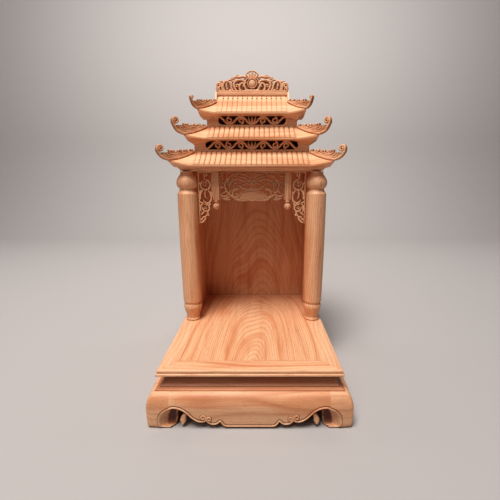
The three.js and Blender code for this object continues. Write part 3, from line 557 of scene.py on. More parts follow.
def on_bulge(path, width, edge_out, rise, dusk=0.0):
    """A round bead along a line drawn on the skirt's face: an oval section that leans on the bulging face."""
    p = even(path, 0.8)
    s = np.linspace(0, 1, len(p))
    share = np.sqrt(np.clip(1 - (1 - np.minimum(1, np.minimum(s, 1 - s) / 0.08)) ** 2, 0.02, 1))[:, None]
    n = across(p)
    angle = np.linspace(0, 2 * np.pi, 12, endpoint=False)
    out = width / 2 * share * np.cos(angle)
    x = p[:, :1] + n[:, :1] * out
    z = p[:, 1:] + n[:, 1:] * out
    y = -(edge_out + bulge_out(z)) + FIELD_INSET + 0.2 - rise * share * np.sin(angle)
    y = np.maximum(y, 0.05 - (edge_out + BULGE_MOST))
    # Painted shade on the lower and back side of the bead's oval, plus the painted shade given.
    return tube(np.stack([x, y, z], -1), dusk=np.clip(0.9 - 1.5 * np.sin(angle) + dusk, 0, 1))


def apron(side):
    """One side's apron: rows run from the top to the scrolled lower edge, the last ones offset along the edge's
    normals for the bead; each row stands out by the bulge at its height, less its inset. A pair of curls stands
    where two scrolls meet, and a drop hangs in each arch."""
    edge_out = PLATFORM_HALF[(side + 1) % 2]
    half = PLATFORM_HALF[side % 2] + BULGE_MOST - LEG_WING - GAP / 2
    bead, rise = carving().bead / MM, carving().bead_rise / MM
    bead_row = bead_rows()
    edge = apron_edge(half)
    normal = edge_normals(edge)
    near = edge + normal * (bead + BEAD_SIDE)
    top = np.stack([edge[:, 0], np.full(len(edge), WAIST_FOOT - GAP)], 1)
    share = np.linspace(1, 0, 13)[:, None, None]
    field = top[None] * share + near[None] * (1 - share)
    rolled = edge[None] + normal[None] * bead_row[:, :1, None]
    points = np.concatenate([field, rolled])
    x = np.clip(points[..., 0], -half, half)
    z = points[..., 1]
    inset = np.concatenate([field_inset(field[..., 1]), bead_row[:, 1:] + 0 * rolled[..., 0]])
    y = -(edge_out + bulge_out(z)) + inset
    inner_y = np.full(len(edge), -(edge_out - LEG_INNER))
    low = np.stack([edge[:, 0], inner_y, edge[:, 1]], -1)[None]
    high = np.stack([top[:, 0], inner_y, top[:, 1]], -1)[None]
    # Painted shade: none on the field, deep where it drops to the bead, round the bead, and along the lower edge of the
    # back.
    dusk = np.concatenate([np.zeros(12), [0.05, 0.5, 1.0, 1.0], ROLL_PAINTED_SHADE, [0.7, 0.0]])
    body = tube(np.concatenate([np.stack([x, y, z], -1), low, high]).transpose(1, 0, 2), dusk=dusk)
    far_eye, near_eye = (half - 76.8, 29.6), (half - 90.4, 25.6)
    far_curl = np.vstack([[(half - 83.6, 23.0)], spiral(*far_eye, 6.6, 1.8, 214, -1.25)])
    near_curl = np.vstack([[(half - 84.2, 21.6)], spiral(*near_eye, 5.8, 1.6, -30, 1.2)])
    front = -(edge_out + 21)
    drop = flow([(half - 37, 37), (half - 32.5, 29), (half - 30, 19), (half - 29, 9.6)], 24)
    parts = both_sides([
        # the sunk ground of each curl, painted in full shade, then the curls, then the drop
        on_bulge(spiral(*far_eye, 4.2, 4.2, 0, 1.02), 9.4, edge_out, 0.5, 1.0),
        on_bulge(spiral(*near_eye, 3.8, 3.8, 0, 1.02), 8.2, edge_out, 0.5, 1.0),
        on_bulge(far_curl, 4.2, edge_out, rise), on_bulge(near_curl, 3.8, edge_out, rise),
        stem(drop, (7.0, 11.0, 14.5, 13.5), front, front + 10, 0.9, (0.05, 0.35), True),
    ])
    return turned(joined([body, *parts]), side, BASE_MIDDLE)


def soft(t, radius=7.0):
    """A smooth step up from nothing: about 0 well below 0, and about t well above."""
    return (t + np.sqrt(t**2 + radius**2)) / 2


def grid(points, dusk=0.0):
    """An open sheet from an array of rows [row, station, xyz]."""
    n, k = points.shape[:2]
    i = np.arange(n * k).reshape(n, k)
    quads = np.stack([i[:-1, :-1], i[:-1, 1:], i[1:, 1:], i[1:, :-1]], -1).reshape(-1, 4)
    return points.reshape(-1, 3), [quads], np.broadcast_to(dusk, (n, k)).ravel()


def leg(sign_x, sign_y):
    """A corner leg. Each wing is a sheet between the outline of a sunk pocket and the wing's own outline, with a
    rolled bead round the pocket, and a hollow sheet closes the pocket. A point of the face at distance q from the
    corner and height z stands out by the bulge at z less its inset, and the corner is softened."""
    edge_x, edge_y = PLATFORM_HALF
    top_z = WAIST_FOOT - GAP
    foot = BULGE_MOST + LEG_INNER
    bead_width, rise, pocket = carving().bead / MM, carving().bead_rise / MM, carving().pocket / MM
    bead_row = bead_rows()[::-1]
    outline = even(quadratic([
        (LEG_WING, ARCH_AT_JOINT), (foot + 12, 46, foot + 5, 37), (foot - 2, 26, foot, 12),
        (foot, POCKET_LIP + 1, foot + 7, POCKET_LIP), (LEG_WING, POCKET_LIP),
    ]), 1.1)
    count = len(outline)
    first, second = int(count * 0.46), int(count * 0.72)
    border = np.vstack([
        np.linspace((LEG_WING, top_z), (0, top_z), first, endpoint=False),
        np.linspace((0, top_z), (0, 0), second - first, endpoint=False),
        np.linspace((0, 0), (LEG_WING, 0), count - second),
    ])
    normal = -edge_normals(outline)
    normal[0], normal[-1] = (0, 1), (0, -1)
    bead = np.interp(np.arange(count), [0, count * 0.62, count * 0.76, count], [1, 1, 0.42, 0.42])[:, None]
    rolled = outline[None] + normal[None] * bead_row[:, :1, None] * bead[None]
    near = outline + normal * (bead_width + BEAD_SIDE) * bead
    share = (np.linspace(0, 1, 18) ** 0.8)[:, None, None]
    field = near[None] * (1 - share) + border[None] * share
    face = np.concatenate([rolled, field])
    inset = np.concatenate([bead_row[:, 1:] * bead.T + FIELD_INSET * (1 - bead.T), field_inset(field[..., 1])])

    def at(points, inset):
        q, z = np.clip(points[..., 0], 0, LEG_WING), np.clip(points[..., 1], 0, top_z)
        out = bulge_out(z)
        shrink = (LEG_WING - (BULGE_MOST - out)) / LEG_WING
        x = edge_x + out - inset - soft(q) * shrink + (soft(LEG_WING) - LEG_WING)
        y = -(edge_y + out - inset - soft(-q) * shrink)
        return np.stack([x, y, z], -1)

    depth = np.array([0, 0.012, 0.05, 0.15, 0.3, 0.5, 0.75, 1.0])
    mouth = np.stack([np.full(count, LEG_WING), np.linspace(ARCH_AT_JOINT, POCKET_LIP, count)], 1)
    hollow = outline[None] * (1 - depth[:, None, None]) + mouth[None] * depth[:, None, None]
    sunk = pocket + 5 * np.clip(1 - hollow[..., 1] / 26, 0, 1) ** 2
    pocket_inset = np.maximum(bulge_out(hollow[..., 1]) - sunk, rise)
    pocket_inset[0] = inset[0]
    pocket_inset[1] = 0.45 * pocket_inset[1] + 0.55 * pocket_inset[2]
    skin, bowl = at(face, inset), at(hollow, pocket_inset)
    inner_x, inner_y = edge_x - LEG_INNER, -(edge_y - LEG_INNER)

    def inside(line):
        return np.stack([np.minimum(line[:, 0], inner_x), np.full(len(line), inner_y), line[:, 2]], -1)

    end = np.vstack([skin[::-1, 0], bowl[-1], skin[:, -1]])
    rim = skin[-1]
    back = np.vstack([inside(rim), inside(end)[::-1]])
    # Painted shade round the bead, and in the pocket: none at its rim, full a little way in, less near the lip at the
    # foot.
    rolled_painted_shade = np.concatenate([ROLL_PAINTED_SHADE[::-1], [1.0, 1.0, 0.5]])[:, None] * np.clip(bead.T * 2 - 0.8, 0, 1)
    skin_painted_shade = np.concatenate([rolled_painted_shade, np.zeros((len(field), count))])
    lip_light = np.interp(hollow[..., 1], [4, 8, 16, 50], [0.4, 1.0, 1.28, 1.28])
    bowl_painted_shade = np.clip(depth * 9, 0, 1)[:, None] * lip_light
    wing = [  # face, pocket, the end towards the apron, the upper and outer rim, and the back
        grid(skin, skin_painted_shade), grid(bowl, bowl_painted_shade), grid(np.stack([end, inside(end)])),
        grid(np.stack([rim, inside(rim)])), (back, [np.arange(len(back))[None]], np.zeros(len(back))),
    ]
    v, faces, dusk = joined(wing)
    k = edge_y - edge_x
    other = np.stack([-v[:, 1] - k, -v[:, 0] - k, v[:, 2]], 1)
    v, faces, dusk = joined([(v, faces, dusk), (other, flipped(faces), dusk)])
    return v * (sign_x, -sign_y, 1) + (0, BASE_MIDDLE, 0), faces, dusk


def mitred(side, section, dusk=0.0):
    """One length of a moulding: its section, as (distance in from the edge, height), carried from mitre to mitre."""
    length, out = PLATFORM_HALF[side % 2], PLATFORM_HALF[(side + 1) % 2]
    inward, z = section.T
    along = np.array([[-1], [1]]) * (length - inward - GAP / 2)
    return turned(tube(np.stack([along, inward - out + 0 * along, z + 0 * along], -1), dusk=dusk), side, BASE_MIDDLE)


RAIL_SECTION = np.vstack([
    [(44, 132), (3.6, 132)], flow([(3.6, 132), (2.2, 131.4), (1.7, 130), (1.6, 127.2)], 8),
    [(1.9, 126.7), (3.0, 126.2), (3.2, 125.4)],
    flow([(3.2, 125.4), (1.8, 124.6), (-0.4, 123.6), (-1, 121.5), (-0.9, 119.4), (1, 118)], 14), [(44, 118)],
])
WAIST_SECTION = np.vstack([  # a deep cove over a small step
    [(24, 117.7), (12, 117.7)],
    flow([(12, 117.7), (15.5, 114), (15.5, 106), (12.5, 98), (9, 92.5), (6.2, 89.6)], 14),
    flow([(6.2, 88.6), (5, 87.9), (1.5, 87.5), (-1.8, 86.9), (-3.6, 86), (-4, 85), (-3.6, 84)], 12), [(24, 84)],
])
# Painted shade under the small step, rising to full at the top of the cove under the rail.
WAIST_PAINTED_SHADE = np.interp(
    WAIST_SECTION[:, 1], [87.9, 88.6, 89.6, 90.2, 96, 104, 111], [0, 0.9, 0.9, 0.1, 0.12, 0.5, 1.0]
)


# ---------------------------------------------------------------- niche
def column_profile():
    """The column's radius against height above the platform: smooth lines between its crisp arrises."""
    top = NICHE_TOP - NICHE_FLOOR
    return np.vstack([
        [(0, 0), (20.6, 0)], flow([(21.2, 0.3), (22.4, 2), (22.6, 3.8), (21.6, 5.6)], 8),
        flow([(20.4, 6.2), (19.2, 9.5), (20.6, 17), (24, 27), (27, 38), (27.8, 44), (26.8, 50), (25.2, 53)], 26),
        flow([(24.7, 53.6), (24.5, 55.5), (25.2, 57.6)], 6), flow([(26.2, 58), (27.7, 60.2), (27.9, 64)], 6),
        flow([(28.1, 75), (28.9, 150), (29.3, 230), (29.1, 310), (28.8, 380)], 20),
        flow([(28.7, 384.6), (28.2, 386.6), (26.4, 388.6), (23.2, 394), (21.6, 398.4)], 12),
        flow([(22.6, 400.2), (26.2, 403.4), (28.8, 408.4), (29.8, 414), (29.2, 421), (26.4, 428), (22.2, 434.4),
              (19.2, 438.6), (17.9, 441.6), (18.0, 444.6), (18.8, top)], 34),
        [(0, top)],
    ])


def column(sign):
    """A turned column: its profile carried round its axis."""
    return lathe(column_profile(), (sign * COLUMN_X, COLUMN_Y, NICHE_FLOOR), 96)


def pendant_post(sign):
    """A square post with a reed up its middle between two sunk lines, and a turned drop with a collar below."""
    x = sign * POST_X
    front, upright = COLUMN_Y - 7.5, (POST_FOOT, NICHE_TOP)
    parts = [block(x - POST_HALF, x + POST_HALF, front + 1.1, front + 15, *upright, 0.8)]
    for left, right, ease in ((-POST_HALF, -5.4, 0.7), (5.4, POST_HALF, 0.7), (-3.4, 3.4, 1.2)):
        parts.append(block(x + left, x + right, front, front + 2.5, *upright, ease))
    angle = np.linspace(-np.pi / 2, np.pi * 0.36, 18)
    radius = 10.2
    ball = np.stack([radius * np.cos(angle), radius + radius * np.sin(angle)], 1)
    collar = flow([(4.4, 20.6), (6.8, 21.6), (7.5, 23.4), (7.4, 26), (6.6, 27.6), (7.4, 28.6), (7.5, 29.4)], 16)
    drop = np.vstack([ball, collar, [(0.2, 29.4)]])
    parts.append(lathe(drop, (x, COLUMN_Y, POST_FOOT - 28.6), 40))
    return joined(parts)


def head_screen():
    """The pierced screen under the ceiling: strokes of even depth with rounded fronts, mirrored about the middle.
    Great arcs run from the top of the middle round both sides to a blank arched plate at the foot."""
    y0, y1 = SCREEN_Y
    edge = POST_X - POST_HALF - GAP
    line, curl, petal, knob = carver(y0, y1, carving().screen_stroke, 0.8)
    half = [
        # the great arc from the middle round to the plate's foot
        line([(1, 562), (10, 566), (20, 572), (40, 575), (61, 567), (73, 554), (76.6, 539), (71, 524), (59, 511),
              (46, 503), (32, 497.6)], (4.4, 5.4, 6.2, 6.0, 5.0), 0, 90),
        # the second arc within it, and its hook
        line([(2, 553), (12, 552), (22, 553), (36, 558), (50, 557), (59, 549), (63, 540), (62, 530)],
             (4.2, 5.0, 4.4), 0.4, 60),
        curl(61, 545, 5.6, 1.6, -60, 1.1, (3.6, 2.6), 0.2),
        petal([(14, 562), (26, 563), (37, 567), (47, 566)], 5.4, 0.5),
        petal([(38, 547), (46, 548), (53, 544), (57, 536)], 5.6, 0.3),
        petal([(62, 560), (67, 555), (69, 547), (67, 538)], 5.0, 0.4),
        # lids of the almond eyes over the plate
        line([(0, 542), (8, 546), (18, 546), (27, 541), (33, 534)], (4.0, 4.8, 4.0), 0.2, 40),
        line([(0, 531.5), (10, 529.5), (20, 530.5), (29, 535), (35, 541), (41, 543)], (4.0, 4.8, 3.6), 0.1, 40),
        petal([(2, 553), (10, 556), (18, 560), (30, 560)], 4.4, 0.4),
        # the ring round the dark hollow beside the plate
        curl(44.5, 517.5, 11.4, 10.2, 118, -0.86, (5.6, 5.0)),
        curl(41.5, 515.5, 4.8, 1.4, 150, 1.1, (3.6, 2.6), 0.4),
        petal([(34, 529), (42, 532), (50, 530), (57, 523)], 6.0, 0.2),
        # leaves at the foot beside the posts
        line([(60, 528), (65, 518), (72, 511), (82, 510), (edge - 1, 516)], (4.4, 5.4, 4.4), 0, 36),
        petal([(62, 511), (70, 505), (80, 503), (89, 507)], 6.6, 0.1),
        petal([(66, 523), (72, 524), (80, 521), (88, 515)], 5.4, 0.3),
        petal([(71, 505), (71, 501), (71, 496)], 8.0),
        knob(71, 500.6, 5.4, 0.3, 0.7), knob(64.6, 500.2, 3.4, 0.3, 0.8), knob(77.6, 500.6, 3.4, 0.3, 0.8),
        knob(38, 498.2, 5.0, 0, 0.75), knob(46.5, 499.6, 3.2, 0, 0.75), knob(29.6, 497.6, 3.0, 0, 0.7),
        # pegs with small curls to the post
        stem(flow([(edge, 567), (86, 567), (79, 565)], 12), (4.6, 3.4), y0 + 0.6, y1), knob(83, 569.4, 2.8),
        stem(flow([(edge, 536), (86, 535), (76, 536)], 12), (5.0, 3.8), y0 + 0.6, y1), knob(85, 538.4, 2.8),
        petal([(edge, 549), (86, 550), (80, 546), (77, 538)], 5.2, 0.5),
        block(edge - 3.0, edge, y0 + 1.6, y1, 502, NICHE_TOP, 0.6),
    ]
    rim = flow([(38.6, 503), (38.2, 511), (33, 518.6), (20, 523.6), (0, 526.4), (-20, 523.6), (-33, 518.6),
                (-38.2, 511), (-38.6, 503), (-33, 499)], 60)
    foot = flow([(-33, 499), (-22, 497), (-10, 499.2), (0, 498), (10, 499.2), (22, 497), (33, 499)], 28)[1:-1]
    outline = np.vstack([rim, foot, [(33, 499)]])
    middle = [
        plate(outline, y0 + 1.8, y1, 0.8),
        stem(np.vstack([rim, foot, outline[-1:], rim[:2]]), 2.6, y0, y1 - 2, 0.6, (0.001, 0.001)),
        block(-edge, edge, y0 - 0.4, y1, NICHE_TOP - 3.4, NICHE_TOP, 0.8),
        petal([(0, 577), (0, 566), (0, 556)], 8.0, 0.2),
        stem(flow([(0, 577), (0, 550), (0, 524)], 20), (3.8, 4.6), y0 + 0.2, y1),
        knob(0, 548, 4.6, -0.2, 1.2), knob(0, 536, 2.8, 0, 1.3), knob(0, 497.9, 4.6, 0, 0.75),
        knob(9.5, 499.4, 2.8, 0, 0.75), knob(-9.5, 499.4, 2.8, 0, 0.75),
    ]
    return joined([*both_sides(half), *middle])


def bracket(sign):
    """A pierced bracket between post and column that narrows down the column: a ring, then leaves and curls."""
    y0, y1 = SCREEN_Y
    inner, outer = POST_X + POST_HALF + GAP, BRACKET_END
    line, curl, petal, knob = carver(y0, y1)
    parts = [
        block(inner, outer, y0 + 0.4, y1, NICHE_TOP - 3.4, NICHE_TOP, 0.7),
        block(inner, inner + 3.0, y0 + 1.4, y1, 508, NICHE_TOP, 0.6),
        block(outer - 3.0, outer, y0 + 1.4, y1, 432, NICHE_TOP, 0.6),
        # hook that hangs from the top
        line([(134, 578), (136, 571), (131, 567), (127, 571)], (5.2, 3.6), 0, 20), knob(128.4, 572, 3.2),
        line([(136, 571), (135, 564), (134, 558)], (4.4, 5.0), 0.1, 14),
        # the ring and the curl within it
        curl(132.5, 542, 14.4, 13.0, 84, 0.94, (5.6, 4.8)),
        curl(133.5, 543.5, 7.2, 1.8, 150, -1.25, (4.2, 2.8), 0.4),
        petal([(inner + 1, 545), (117, 543), (121, 536)], 5.0, 0.3),
        knob(inner + 2.8, 543, 2.8), knob(outer - 2.8, 549, 3.2),
        petal([(outer - 1, 549), (148, 546), (145, 540)], 5.0, 0.3),
        # broad leaf below the ring, and the vine that swings under it
        petal([(139, 529), (147, 522), (149, 512), (146, 502)], 10.0),
        line([(126, 528), (119, 519), (116.5, 508), (119, 497), (127, 491), (137, 494), (141, 501)],
             (5.0, 6.0, 5.4, 3.6), 0, 50),
        knob(inner + 4.4, 517, 3.6), petal([(inner + 1, 527), (116, 521), (121, 514)], 5.4, 0.2),
        petal([(131, 527), (135, 519), (134, 509), (129, 501)], 6.6, 0.3),
        knob(outer - 3.4, 503, 3.4), line([(outer - 1, 497), (146, 492), (139, 489)], (4.6, 4.0), 0.1, 16),
        # the lower ring
        curl(133, 477, 10.6, 9.6, 60, 0.9, (5.0, 4.4)), knob(121.6, 487, 3.4),
        curl(134, 478, 4.6, 1.4, 20, -1.1, (3.4, 2.4), 0.4),
        petal([(142, 489), (148, 482), (149, 472), (146, 463)], 7.6, 0.2),
        # the tail of small leaves
        line([(128, 468), (129, 459), (136, 452), (145, 450)], (4.6, 5.2, 4.2), 0, 26), knob(127.4, 456, 3.2),
        petal([(138, 466), (144, 461), (150, 456)], 5.6, 0.2),
        line([(136, 454), (136.6, 445), (142, 438), (149, 433.6)], (4.2, 5.2, 4.6), 0, 24), knob(135.4, 446, 2.8),
        petal([(142, 449), (147, 444), (outer - 1, 440)], 5.0, 0.2), knob(145.6, 434.8, 2.8),
    ]
    v, faces, dusk = joined(parts)
    v[:, 0] = np.clip(v[:, 0], inner, outer)
    return (v, faces, dusk) if sign > 0 else mirrored((v, faces, dusk))


# ---------------------------------------------------------------- roof
def plan(half_width):
    """Half the width and half the depth of the roof where its half width is given."""
    return (half_width, half_width - SIDE_DIFFERENCE)


def tile_count(half):
    """How many whole tiles fit along a side."""
    return int(2 * (half - 3) // TILE_PITCH)


def tiled_to(tier, side):
    """Where the tiles end on either side of a side's middle: half the count times the pitch."""
    return tile_count(plan(tier["inner"])[side % 2]) / 2 * TILE_PITCH


def off_middle(along, last):
    """How far a station lies from its tile's middle, 0 there and 1 in the valley."""
    return np.abs(((along + last) / TILE_PITCH % 1) - 0.5) * 2


def corner_share(tier, along, side):
    """How far a station lies beyond the last tile, 0 there and 1 at the eave's corner."""
    last = tiled_to(tier, side)
    return np.clip((np.abs(along) - last) / (plan(tier["eave"])[side % 2] - last), 0, 1)


def slope_height(tier, share, along, side):
    """The tiles' height without their ribs: a slope a little hollow, lifted towards the corners of the eave."""
    fall = 1 - (1 - share) ** 1.2
    lift = tier["lift"] * corner_share(tier, along, side) ** 1.6
    return tier["top"] - (tier["top"] - tier["eave_top"]) * fall + lift


def ribs(tier, along, side):
    """The ribs across the slope, by their rise. Lower tiers: a row of half rounds with a crisp valley between. Top
    tier: flat tiles with a narrow sunk line between."""
    last = tiled_to(tier, side)
    off = off_middle(along, last)
    if tier["number"] < 3:
        shape = np.sqrt(np.clip(1 - (off * 0.98) ** 2, 0, 1)) - 0.3 * np.clip((off - 0.86) / 0.14, 0, 1)
    else:
        shape = 0.45 + 0.25 * np.clip((1 - off) / 0.14, 0, 1) - 0.5 * np.clip((off - 0.9) / 0.08, 0, 1)
    return shape * np.clip((last - np.abs(along)) / 0.6, 0, 1)


CORNER_SPREAD = np.array([0.12, 0.28, 0.46, 0.64, 0.82])  # stations between the last tile and a corner
TILE_STATIONS = np.array([0, 0.03, 0.1, 0.22, 0.36, 0.5, 0.64, 0.78, 0.9, 0.97])  # and across one tile


def tile_stations(tier, side):
    """Stations along the tiles of one side at its inner edge, ten to a tile, and where the tiles end."""
    last = tiled_to(tier, side)
    count = tile_count(plan(tier["inner"])[side % 2])
    within = (np.arange(count)[:, None] + TILE_STATIONS).ravel()
    return np.concatenate([-last + within * TILE_PITCH, [last]]), last


def valley_dusk(tier):
    """The painted shade of one row of tiles, round the four sides: deepest in the valleys between."""
    start, reach, most = (0.62, 0.3, 0.5) if tier["number"] < 3 else (0.86, 0.1, 0.3)
    before, after = np.zeros(1 + len(CORNER_SPREAD)), np.zeros(len(CORNER_SPREAD))
    rows = []
    for side in range(4):
        deep = np.clip((off_middle(*tile_stations(tier, side)) - start) / reach, 0, 1) * most
        rows += [before, deep, after]
    return np.concatenate(rows)


def round_rows(tier, rows):
    """Rings that run round the four sides: each row is (half widths, height as a function of along and side), and
    every row has the same stations, kept straight down the slope and spread in the corners. A row shorter than the
    tiles has its stations drawn in evenly."""
    rings = []
    for half, height in rows:
        points = []
        for side in range(4):
            inner, last = tile_stations(tier, side)
            length, out = half[side % 2], half[(side + 1) % 2]
            corner = min(length, last) + max(length - last, 0) * CORNER_SPREAD
            along = np.concatenate([[-length], -corner[::-1], inner * min(1, length / last), corner])
            v = np.stack([along, np.full(len(along), -out), height(along, side) + 0 * along], 1)
            points.append(turned((v, [], None), side, HOUSE_MIDDLE)[0])
        rings.append(np.vstack(points))
    return np.stack(rings)


def level(z):
    """A row that lies level at z."""
    return lambda along, side: z


def sunk_pegs(tier):
    """Small pegs between the tiles' upper ends, front and back, given full painted shade: low oval bosses on the slope
    under the beam.
    """
    top, inner = tier["top"], tier["inner"]
    share = (PEG_ROW - top) / (RIDGE_TOP - top)
    depth = RIDGE_HALF + (plan(inner)[1] - RIDGE_HALF) * (1 - share)
    count = tile_count(inner)
    pegs = []
    for k in range(1, count):
        v, faces, dusk = boss((k - count / 2) * TILE_PITCH, PEG_ROW + 0.6, 2.6, -depth - 3.2, -depth + 3, 0.62, 0.3)
        pegs += [turned((v, faces, np.ones(len(dusk))), side, HOUSE_MIDDLE) for side in (0, 2)]
    return pegs


def roof_tier(tier):
    """A tier of the roof: tiled slopes, a thin lip at the eave, and a hollow cove down to the storey below. The top
    tier goes on as a gable's straight slopes up to the ridge; the others have a ledge that carries a storey."""
    inner, eave, top = tier["inner"], tier["eave"], tier["top"]
    bearing = tier["bearing"] + GAP
    rise = carving().tile_rise / MM

    def tiles(share):
        return (
            plan(inner + (eave - inner) * share),
            lambda along, side: slope_height(tier, share, along, side) + rise * ribs(tier, along, side),
        )

    def gable_slope(share):
        depth = RIDGE_HALF + (plan(inner)[1] - RIDGE_HALF) * (1 - share)
        z = top + (RIDGE_TOP - top) * share
        return (inner, depth), lambda along, side: z + (rise * ribs(tier, along, side) if side % 2 == 0 else 0)

    def cove(share):
        half = plan(eave + (bearing - eave) * share)

        def height(along, side):
            k = np.abs(along) / half[side % 2]
            at_eave = slope_height(tier, 1, k * plan(eave)[side % 2], side) - LIP
            corner = np.clip((k - 0.66) / 0.34, 0, 1) ** 1.3
            foot = tier["cove_middle"] - (tier["cove_middle"] - tier["cove_corner"]) * corner
            hollow = 3.0 * np.sin(np.pi * share) * np.clip((k - 0.5) / 0.5, 0, 1)
            return at_eave + (foot - at_eave) * share + hollow

        return half, height

    def lip(along, side):
        return slope_height(tier, 1, along, side) - LIP + 0.6 * ribs(tier, along, side)

    is_top = tier["number"] == 3
    ledge = plan(inner - BOARD)
    start = [] if is_top else [(ledge, level(top)), (plan(inner + GAP / 2), level(top))]
    tiled = [gable_slope(share) for share in (1.0, 0.75, 0.5, 0.25)] if is_top else []
    tiled += [tiles(share) for share in (0.01, 0.1, 0.2, 0.32, 0.44, 0.56, 0.68, 0.8, 0.9, 1.0)]
    under = [(plan(eave), lip), *[cove(share) for share in (0.04, 0.15, 0.3, 0.45, 0.6, 0.75, 0.9, 1.0)]]
    under += [(plan(bearing), level(tier["bear"])), (plan(tier["bearing"] - BOARD), level(tier["bear"]))]
    end = [] if is_top else [(ledge, level(top - 11))]
    rows = [*start, *tiled, *under, *end]
    is_tiled = np.repeat([0.0, 1.0, 0.0], [len(start), len(tiled), len(under) + len(end)])
    # painted shade in the tiles' valleys, on the tiled rows only
    body = tube(round_rows(tier, rows), looped=not is_top, dusk=np.outer(is_tiled, valley_dusk(tier)))
    return joined([body, *sunk_pegs(tier)]) if is_top else body


def storey(tier, side):
    """A frieze board: a long window with round ends, filled by a waving vine with a curl in every hollow."""
    above = TIERS[tier["number"]]  # the numbers start at 1, so this is the next tier up
    half = plan(tier["inner"])
    is_front = side % 2 == 0
    length = half[side % 2] - (0 if is_front else BOARD + GAP)
    out = half[(side + 1) % 2]
    low, high = tier["top"] + GAP, above["bear"] - GAP
    y0, y1 = -out, -out + BOARD
    window = tier["window"] - (0 if is_front else SIDE_DIFFERENCE)
    if side == 2 or window <= 20:
        return turned(block(-length, length, y0, y1, low, high, 0.5), side, HOUSE_MIDDLE)
    w_low, w_high = low + 7, high - 3
    body = [windowed(length, low, high, window, w_low, w_high, y0, y1)]
    body += vine(window, w_low, w_high, y0 + 0.8, y1 - 1.5, is_front)
    return turned(joined(body), side, HOUSE_MIDDLE)


def windowed(length, low, high, window, w_low, w_high, y0, y1):
    """A board round a window: stations run once round the window, paired with stations round the board's edge,
    and the section goes over the front, in through the window with a small round, and back over the rear."""
    r = (w_high - w_low) / 2
    middle = (w_high + w_low) / 2
    straight = np.linspace(-(window - r), window - r, 13)[:-1]
    turn = np.linspace(-np.pi / 2, np.pi / 2, 17)
    arc = np.stack([window - r + r * np.cos(turn), middle + r * np.sin(turn)], 1)
    # the board's corner beside the arc: along the foot, up the end in the middle half of the turn, and back
    share = np.linspace(0, 1, len(turn))
    along = np.minimum(np.minimum(share, 1 - share) / 0.25, 1)
    up = np.clip((share - 0.25) / 0.5, 0, 1)
    corner = np.stack([window - r + (length - window + r) * along, low + (high - low) * up], 1)

    def once_round(foot, head, end):
        foot_row = np.stack([straight, np.full(len(straight), foot)], 1)
        head_row = np.stack([-straight[1:], np.full(len(straight) - 1, head)], 1)
        return np.vstack([foot_row, end, head_row, (end * (-1, 1))[:0:-1]])

    inner, outer = once_round(w_low, w_high, arc), once_round(low, high, corner)
    normal = across(np.vstack([inner[-1:], inner, inner[:1]]))[1:-1]
    ease = 0.9
    section = [
        (outer, y0), (inner - normal * ease, y0), (inner - normal * ease * 0.3, y0 + ease * 0.3), (inner, y0 + ease),
        (inner, y1), (outer, y1),
    ]
    rings = np.stack([np.stack([p[:, 0], np.full(len(p), y), p[:, 1]], 1) for p, y in section], 1)
    # Painted shade: none on the front, deepening round the window's edge into full shade on its sides.
    return tube(rings, looped=True, dusk=np.array([0, 0, 0.2, 0.7, 1, 1]))


def vine(window, low, high, y0, y1, with_curls):
    """A stem that waves from rail to rail, as a cosine, with a spiral curl and a small leaf in each hollow, and a
    spray of five leaves in the middle."""
    _, curl, petal, _ = carver(y0, y1, 1.0, 0.7)
    middle = (low + high) / 2
    swing = (high - low) / 2 - 1.2
    waves = int(round(window / 33))
    t = np.linspace(-1, 1, 40 * waves)
    wave = np.stack([window * t, middle - swing * np.cos(np.pi * waves * t)], 1)
    parts = [stem(wave, carving().vine / MM, y0, y1, 0.7, (0.01, 0.01))]
    if not with_curls:
        return parts
    for k in range(1, 2 * waves):
        if k == waves:
            continue
        cx = -window + k * window / waves
        up = 1 if (k + waves) % 2 == 0 else -1
        turn = 1 if cx < 0 else -1
        parts.append(curl(cx, middle + up * 1.2, 8.8, 2.4, up * 90, turn * 1.2, (5.4, 4.6)))
        bud = [(cx - turn * 6, middle - up * 4), (cx + turn * 2, middle - up * 6), (cx + turn * 9, middle - up * 9.5)]
        parts.append(petal(bud, 6.2, 0.4))
    span = high - low
    parts.append(petal([(0, low), (0, middle), (0, high - 1)], 7.0))
    for sign in (-1, 1):
        for width, points in ((5.5, ((6, 0.35), (10, 0.75), (9, 1.0))), (5.0, ((10, 0.2), (17, 0.4), (20, 0.7)))):
            parts.append(petal([(0, low + 1), *[(sign * x, low + span * up) for x, up in points]], width))
    return parts


# The currents beside a hip's rim, from the horn down to the storey: points as (share of the length, share of the
# height between rim and crown), the width, and how far the stroke lies back from the board's faces.
CURRENTS = (
    ([(0.93, 0.9), (0.88, 0.5), (0.78, 0.3), (0.6, 0.24), (0.38, 0.3), (0.2, 0.3), (0.04, 0.24)], 3.6, 0.6),
    ([(0.86, 0.95), (0.8, 0.62), (0.68, 0.46), (0.5, 0.5), (0.34, 0.58), (0.18, 0.5), (0.03, 0.5)], 3.4, 0.9),
    ([(0.77, 1.0), (0.72, 0.76), (0.62, 0.68), (0.52, 0.74), (0.44, 0.86)], 3.4, 0.7),
    ([(0.4, 0.56), (0.3, 0.8), (0.18, 0.78), (0.04, 0.74)], 3.2, 1.0),
    ([(0.97, 0.5), (0.9, 0.24), (0.8, 0.12), (0.62, 0.06), (0.42, 0.1)], 2.8, 1.2),
)
# The clouds along its top: share of the length, size, start of the spiral in degrees, turns.
CLOUDS = ((0.66, 0.7, 20, 1.3), (0.47, 0.8, 200, -1.3), (0.27, 0.76, 10, 1.3), (0.1, 0.6, 30, 1.2))


